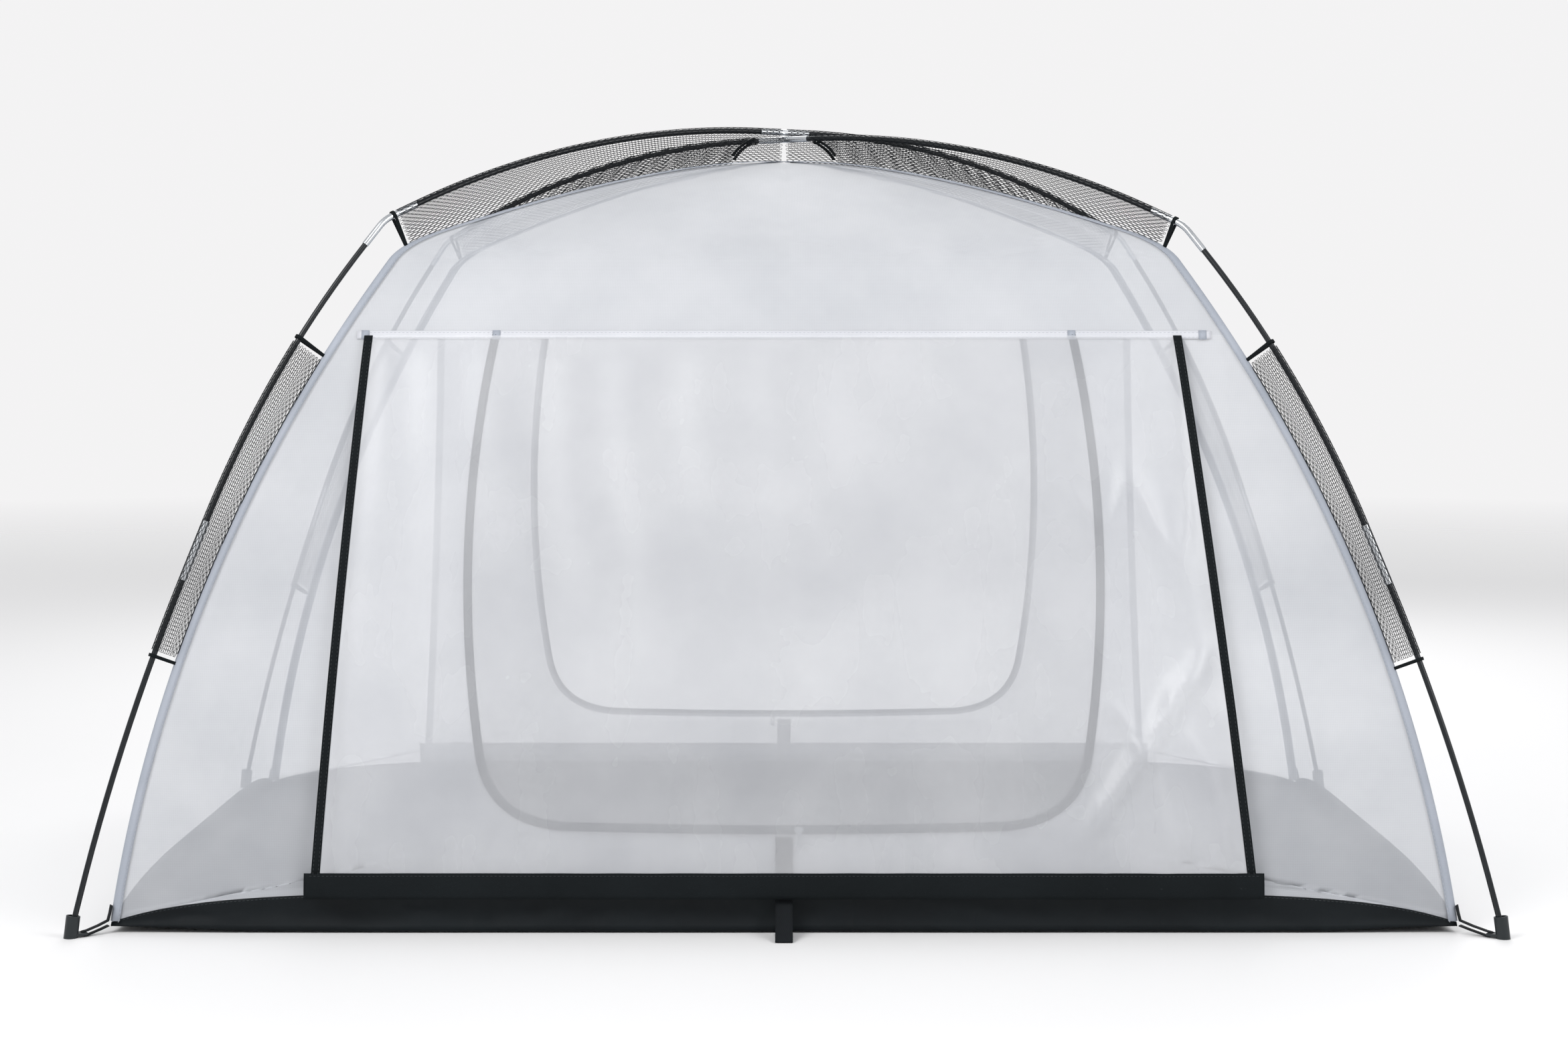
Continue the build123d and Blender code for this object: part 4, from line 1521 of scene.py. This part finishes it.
@dataclass
class Sleeves:
    """The hexagon-net sleeves that hang the tent from its poles, and their bindings."""

    body: str = "tent"
    pitch: float = 0.0122
    row: float = 0.0031
    radius: float = 0.0061
    thread: float = 0.00046
    ridge_gap: float = 0.0010
    top_share: float = 0.37
    foot_share: float = 0.24
    binding: float = 0.005
    band_radius: float = 0.0070
    band_gap: float = 0.0014
    leg_cut: float = 0.10
    roof_cut: float = 0.12
    arch: tuple[float, float, float] = (1.165, 0.105, 0.055)

    def web_depth(self, pole: PoleLine, run: float, arched: bool) -> float:
        """Return the distance from the rod's centre to the ridge, square to the rod.

        Args:
            pole: The leg's centre line.
            run: Run from the apex.
            arched: Whether the net is cut away under the crossing.

        Returns:
            The depth in metres.
        """
        reach, height, heading = pole.at(run)
        inwards = (-math.sin(heading), -math.cos(heading))
        low, high = 0.0, 0.12
        for _ in range(30):
            depth = (low + high) / 2
            u, z = reach + inwards[0] * depth, height + inwards[1] * depth
            share, _ = PROFILE.at(PROFILE.s_at(min(z, 1.17499)))
            inside = z < 1.175 and u < share * DIAGONAL
            if inside:
                high = depth
            else:
                low = depth
        if arched:
            base, half, rise = self.arch
            if abs(reach) < half:
                ceiling = base + rise * math.sqrt(1 - (reach / half) ** 2)
                low = min(low, max(0.0, (height - ceiling) / math.cos(heading)))
        return low

    def section(self, depth: float, radius: float, gap: float, run: float) -> tuple[float, float]:
        """Walk round a sleeve's teardrop section.

        Args:
            depth: Distance from the rod's centre to the ridge.
            radius: Radius round the rod.
            gap: Half the gap between the two webs at the ridge.
            run: Distance walked from the outermost point of the rod, signed.

        Returns:
            Distance inwards and aside from the rod's centre.
        """
        sign = 1.0 if run >= 0 else -1.0
        walked = abs(run)
        if depth <= radius * 1.02:
            angle = min(walked / radius, math.pi)
            return -radius * math.cos(angle), sign * radius * math.sin(angle)
        lean = math.acos(min(1.0, (radius - gap) / depth))
        arc = (math.pi - lean) * radius
        if walked <= arc:
            angle = walked / radius
            return -radius * math.cos(angle), sign * radius * math.sin(angle)
        angle = math.pi - lean
        start = (-radius * math.cos(angle), radius * math.sin(angle))
        size = math.hypot(depth - start[0], gap - start[1])
        share = min(1.0, (walked - arc) / size)
        return mixed(start[0], depth, share), sign * mixed(start[1], gap, share)

    def half_girth(self, depth: float, radius: float, gap: float) -> float:
        """Return half the length round a section, from the rod's top to the ridge.

        Args:
            depth: Distance from the rod's centre to the ridge.
            radius: Radius round the rod.
            gap: Half the gap between the two webs at the ridge.

        Returns:
            The length in metres.
        """
        if depth <= radius * 1.02:
            return math.pi * radius
        lean = math.acos(min(1.0, (radius - gap) / depth))
        angle = math.pi - lean
        start = (-radius * math.cos(angle), radius * math.sin(angle))
        return angle * radius + math.hypot(depth - start[0], gap - start[1])

    def on_section(self, pole: PoleLine, run: float, inwards: float, aside: float) -> Vector:
        """Return a section's point in the tent's frame.

        Args:
            pole: The leg's centre line.
            run: Run from the apex.
            inwards: Distance inwards from the rod's centre.
            aside: Distance aside from it.

        Returns:
            The point.
        """
        reach, height, heading = pole.at(run)
        return pole.point(
            reach - math.sin(heading) * inwards, height - math.cos(heading) * inwards, aside
        )

    def lattice(self, pole: PoleLine, start: float, stop: float, arched: bool) -> tuple[list, list]:
        """Lay a staggered triangle lattice round a stretch of pole.

        Args:
            pole: The leg's centre line.
            start: Run from the apex where the net starts.
            stop: Run where it stops.
            arched: Whether the net is cut away under the crossing.

        Returns:
            Points and triangles.
        """
        columns = int((stop - start) / self.pitch)
        pitch = (stop - start) / (columns + 0.5)
        runs = [start + pitch * i / 2 for i in range(2 * columns + 3)]
        depths = [self.web_depth(pole, run, arched) for run in runs]
        reach = max(self.half_girth(d, self.radius, self.ridge_gap) for d in depths)
        half_rows = int(reach / self.row) + 1
        points: list[Vector] = []
        index: dict[tuple[int, int], int] = {}
        for j in range(-half_rows, half_rows + 1):
            odd = j % 2
            for i in range(columns + 1):
                run = start + pitch * (i + 0.5 * odd)
                depth = depths[2 * i + odd]
                limit = self.half_girth(depth, self.radius, self.ridge_gap)
                walked = j * self.row
                if abs(walked) > limit + self.row * 0.9:
                    continue
                walked = max(-limit, min(limit, walked))
                place = self.section(depth, self.radius, self.ridge_gap, walked)
                index[(i, j)] = len(points)
                points.append(self.on_section(pole, run, *place))
        faces = []
        for i, j in index:
            odd = j % 2
            for trio in (
                ((i, j), (i + 1, j), (i + odd, j + 1)),
                ((i, j), (i + odd, j + 1), (i - 1 + odd, j + 1)),
            ):
                if all(t in index for t in trio):
                    faces.append([index[t] for t in trio])
        return points, faces

    def net(self, name: str, spans: Sequence[tuple[str, float, float, bool]]) -> bpy.types.Object:
        """Make one sleeve's net from its spans of corner, start, stop and arch.

        Args:
            name: The piece's name.
            spans: Corner, start, stop and whether it is arched, for each span.

        Returns:
            The net's threads.
        """
        points: list[Vector] = []
        faces: list[list[int]] = []
        for corner, start, stop, arched in spans:
            more, tris = self.lattice(POLES[corner], start, stop, arched)
            faces += [[n + len(points) for n in tri] for tri in tris]
            points += more
        data = bpy.data.meshes.new(name + "_lattice")
        data.from_pydata(points, [], faces)
        values = {"Thread Radius": self.thread, "Material": NET_THREAD.material()}
        return grown(name, data, HEX_NET.tree, values)

    def band(self, corner: str, start: float, stop: float) -> ClothPatch:
        """Return the binding round a sleeve's cut end.

        Args:
            corner: The corner that the leg stands in.
            start: Run where the binding starts.
            stop: Run where it stops.

        Returns:
            The binding's grid.
        """
        pole = POLES[corner]
        rows = []
        for run in (start, (start + stop) / 2, stop):
            shape = (self.web_depth(pole, run, False), self.band_radius, self.band_gap)
            girth = self.half_girth(*shape)
            rows.append(
                [
                    self.on_section(pole, run, *self.section(*shape, girth * (2 * v - 1)))
                    for v in steps(37)
                ]
            )
        return ClothPatch(rows, flats_of(rows))

    def arch_edge(self, corner: str) -> ClothPatch:
        """Return the binding along the arched cut under the crossing.

        Args:
            corner: The corner that the leg stands in.

        Returns:
            The binding's grid.
        """
        pole = POLES[corner]
        base, half, rise = self.arch
        rows = []
        for f in steps(18):
            angle = mixed(0.62, 0.20, f) * math.pi / 2
            reach, height = half * math.cos(angle), base + rise * math.sin(angle)
            deeper = (reach + 0.0035 * math.cos(angle), height + 0.0035 * math.sin(angle))
            rows.append(
                [
                    pole.point(reach, height, -0.0016), pole.point(*deeper, -0.0016),
                    pole.point(*deeper, 0.0016), pole.point(reach, height, 0.0016),
                ]
            )
        return ClothPatch(rows, flats_of(rows))

    def build(self) -> None:
        """Make and dress every sleeve and binding."""
        bands = []
        for corner, pole in POLES.items():
            at = pole.stations()
            start = at["middle"] + pole.middle * self.top_share
            stop = at["lower"] + pole.lower * self.foot_share
            name = f"{corner}_lower_sleeve"
            sleeve = self.net(f"{corner}_leg_net", [(corner, start, stop, False)])
            fitted(sleeve, self.body, name)
            bands.append(self.band(corner, start - self.binding, start))
            bands.append(self.band(corner, stop, stop + self.binding))
            bands.append(self.band(corner, at["bend"] - self.binding, at["bend"]))
            bands.append(self.arch_edge(corner))
        roofs = {
            "upper_pole_roof_sleeve": ("front_left", "rear_right"),
            "front_right_roof_sleeve": ("front_right",),
            "rear_left_roof_sleeve": ("rear_left",),
        }
        for node, corners in roofs.items():
            spans = []
            for corner in corners:
                at = POLES[corner].stations()
                start = 0.0 if len(corners) == 2 else at["roof"]
                spans.append((corner, start, at["bend"] - self.binding, len(corners) == 1))
            sleeve = self.net(node.replace("sleeve", "net"), spans)
            fitted(sleeve, self.body, node)
        piece = cloth("sleeve_binding_tapes", bands, BLACK_TAPE, 0.0009)
        fitted(piece, self.body, "sleeve_bindings")
        LOG.info("seven net sleeves and their bindings")


@dataclass
class RidgeTapes:
    """The grey tapes folded over the four corner seams."""

    body: str = "tent"
    wing: float = 0.0125
    offset: float = 0.0014
    low: float = 0.018

    def build(self) -> None:
        """Make and dress the tapes and their stitches."""
        patches, paths = [], []
        for corner, pole in POLES.items():
            first = Side.FRONT if pole.outwards.y < 0 else Side.REAR
            second = Side.LEFT if pole.outwards.x < 0 else Side.RIGHT
            rows = []
            start = PROFILE.s_at(self.low)
            for f in steps(150):
                s = mixed(start, 2.985, f)
                share = PROFILE.at(s)[0]
                row = []
                for side, shares in ((first, (1.0, 0.5, 0.12)), (second, (0.12, 0.5, 1.0))):
                    sign = 1.0 if pole.outwards.dot(side.along) > 0 else -1.0
                    for wing in shares:
                        across = max(0.0, side.span * share - self.wing * wing)
                        row.append(on_side(side, sign * across, s, self.offset))
                rows.append(row)
            patches.append(ClothPatch(rows, flats_of(rows)))
            for column, side in ((0, first), (5, second)):
                inset = [row[column].lerp(row[3 if column else 2], 0.15) for row in rows]
                rise = side.outwards + UP * 0.4
                paths.append([(p + side.outwards * 0.0007, rise) for p in inset])
        tapes = cloth("ridge_seam_tapes", patches, GREY_TAPE, 0.0008)
        sewn = PATH_PARTS.along("ridge_stitches", paths, STITCH, PALE_SEWING)
        fitted(tapes, self.body, "ridge_tapes")
        fitted(sewn, self.body)
        LOG.info("ridge tapes and their stitches")


@dataclass
class Straps:
    """The stake loops in the middle of the long sides and the corner straps."""

    body: str = "tent"
    width: float = 0.026
    thickness: float = 0.0014
    corner_width: float = 0.010

    def centre(self, side: Side) -> None:
        """Make a long side's centre strap, sewn above and looped on the ground.

        Args:
            side: The side that the strap is on.
        """
        sewn = []
        for height in [mixed(0.141, 0.058, f) for f in steps(10)]:
            sewn.append(on_side(side, 0.0, PROFILE.s_at(height), 0.0009))
        reach = side.reach
        ends = [(reach - 0.0002, 0.052), (reach + 0.004, 0.046), (reach + 0.034, 0.0248),
                (reach + 0.060, 0.0078), (reach + 0.0668, 0.0036), (reach + 0.0684, 0.0018),
                (reach + 0.0660, 0.0009), (reach + 0.045, 0.0009), (reach + 0.002, 0.0009)]
        line = sewn + [side.place(0.0, out, height) for out, height in ends]
        rows = strip_rows(line, side.along, self.width)
        heart = side.place(0.0, reach + 0.02, 0.012)
        patch = ClothPatch(rows, flats_of(rows))
        strap = cloth(f"{side.label}_stake_loop", [patch], WEBBING, self.thickness, heart)
        fitted(strap, self.body, f"{side.label}_centre_strap")
        paths = []
        for aside in (-0.0105, 0.0105):
            shift = side.outwards * 0.0009 + side.along * aside
            paths.append([(p + shift, side.outwards) for p in sewn])
        level = sewn[-1] + side.outwards * 0.0012
        for drop in (0.0, 0.006):
            paths.append(
                [(level + side.along * x + UP * drop, side.outwards) for x in (-0.010, 0.0, 0.010)]
            )
        stitches = PATH_PARTS.along(f"{side.label}_strap_stitches", paths, STITCH, SEWING)
        fitted(stitches, self.body)

    def corners(self) -> None:
        """Make the straps that tie each floor corner to its foot cap."""
        patches = []
        for pole in POLES.values():
            reach, height, heading = pole.at(pole.stations()["toe"])
            foot = reach + height / math.tan(heading)
            eye, tip = foot - 0.0185, foot - 0.025
            line = [
                (DIAGONAL - 0.0034, 0.042), (DIAGONAL - 0.0008, 0.030), (DIAGONAL + 0.0024, 0.0195),
                (mixed(DIAGONAL, tip, 0.5), 0.0135), (tip - 0.001, 0.0084), (eye - 0.002, 0.0077),
                (eye + 0.0004, 0.0068), (eye + 0.0005, 0.0030), (eye - 0.002, 0.0016),
                (tip - 0.001, 0.0015), (mixed(DIAGONAL, tip, 0.4), 0.0075),
                (DIAGONAL + 0.0016, 0.012),
            ]
            across = pole.outwards.cross(UP)
            rows = strip_rows([pole.point(u, z) for u, z in line], across, self.corner_width)
            patches.append(ClothPatch(rows, flats_of(rows)))
        straps = cloth("corner_tie_straps", patches, WEBBING, 0.0012)
        fitted(straps, self.body, "corner_straps")

    def build(self) -> None:
        """Make and dress every strap."""
        for side in (Side.FRONT, Side.REAR):
            self.centre(side)
        self.corners()
        LOG.info("stake loops and corner straps")


class PoleSet:
    """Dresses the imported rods, ferrules, caps, cords and sliders."""

    FINISHES: tuple[tuple[str, HardFinish], ...] = (
        ("_rod", ROD), ("_elbow", BRIGHT_METAL), ("ferrule", BRIGHT_METAL),
        ("_foot_cap", CAP_PLASTIC), ("_shock_cord", CORE_CORD), ("_zip_slider", SLIDER_METAL),
    )

    def build(self) -> None:
        """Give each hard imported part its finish."""
        for name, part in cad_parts.items():
            for ending, finish in self.FINISHES:
                if name.endswith(ending):
                    part.data.materials.clear()
                    part.data.materials.append(finish.material())
                    LOG.info("%s: %s", name, finish.label)


# ---------------------------------------------------------------- studio
@dataclass
class Studio:
    """A pale floor that fades into an even backdrop, soft lights and the camera."""

    lens: float = 63.7
    eye: tuple[float, float, float] = (0.0, -4.713, 0.885)
    pitch: float = 3.92
    sky: Colour = (0.90, 0.895, 0.90)
    dome: Colour = (0.60, 0.605, 0.62)
    lights: tuple = field(
        default=(
            ("key", (-2.6, -3.2, 3.6), 2.4, 125.0),
            ("fill", (3.0, -2.6, 2.6), 2.6, 70.0),
            ("back", (0.4, 3.2, 3.0), 3.4, 90.0),
        )
    )

    def floor(self) -> None:
        """Make the floor, which fades out far from the tent."""
        mesh = bmesh.new()
        rings = [[mesh.verts.new((0, 0, 0))]]
        for radius in (1.5, 3.0, 5.0, 7.0, 9.0, 12.0):
            ring = []
            for k in range(64):
                angle = math.tau * k / 64
                ring.append(mesh.verts.new((radius * math.cos(angle), radius * math.sin(angle), 0)))
            rings.append(ring)
        for k in range(64):
            mesh.faces.new((rings[0][0], rings[1][k], rings[1][(k + 1) % 64]))
            for inner, outer in zip(rings[1:], rings[2:]):
                mesh.faces.new((inner[k], outer[k], outer[(k + 1) % 64], inner[(k + 1) % 64]))
        data = bpy.data.meshes.new("studio_floor")
        mesh.to_mesh(data)
        mesh.free()
        floor = bpy.data.objects.new("studio_floor", data)
        bpy.context.scene.collection.objects.link(floor)
        material = bpy.data.materials.new("pale_floor")
        material.use_nodes = True
        board = Board(material.node_tree)
        shader = material.node_tree.nodes["Principled BSDF"]
        shader.inputs["Base Color"].default_value = (0.87, 0.865, 0.86, 1.0)
        shader.inputs["Roughness"].default_value = 0.6
        place = board.add("ShaderNodeTexCoord").outputs["Object"]
        far = board.add("ShaderNodeVectorMath", {0: place}, operation="LENGTH").outputs["Value"]
        board.put(shader.inputs["Alpha"], board.banded(far, 1.6, 11.0, 1.0, 0.0))
        data.materials.append(material)

    def build(self) -> None:
        """Set the stage, the lights and the camera."""
        self.floor()
        world = bpy.data.worlds.new("studio")
        world.use_nodes = True
        board = Board(world.node_tree)
        seen = board.add("ShaderNodeLightPath").outputs["Is Camera Ray"]
        sky = board.blended(seen, self.dome, self.sky)
        board.put(world.node_tree.nodes["Background"].inputs[0], sky)
        scene = bpy.context.scene
        scene.world = world
        for name, place, size, power in self.lights:
            light = bpy.data.lights.new(name, "AREA")
            light.size, light.energy = size, power
            lamp = bpy.data.objects.new(name, light)
            lamp.location = place
            aim = Vector((0.0, 0.0, 0.5)) - Vector(place)
            lamp.rotation_euler = aim.to_track_quat("-Z", "Y").to_euler()
            scene.collection.objects.link(lamp)
        camera = bpy.data.cameras.new("camera")
        camera.lens, camera.sensor_width = self.lens, 36.0
        eye = bpy.data.objects.new("camera", camera)
        eye.location = self.eye
        eye.rotation_euler = (math.radians(90.0 - self.pitch), 0.0, 0.0)
        scene.collection.objects.link(eye)
        scene.camera = eye
        scene.view_settings.view_transform = "Standard"
        scene.cycles.transparent_max_bounces = 32
        LOG.info("studio")


def main() -> None:
    """Build the tent sub-assembly by sub-assembly."""
    logging.basicConfig(level=logging.INFO, format="%(name)s: %(message)s")
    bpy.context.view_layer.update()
    Studio().build()
    PoleSet().build()
    FloorTub().build()
    for side in (Side.FRONT, Side.REAR):
        LongSide(side).build()
        DoorLeaf(side).build()
        Curtain(side).build()
    for side in (Side.LEFT, Side.RIGHT):
        EndWall(side).build()
    RidgeTapes().build()
    Sleeves().build()
    Straps().build()


if __name__ == "__main__":
    main()
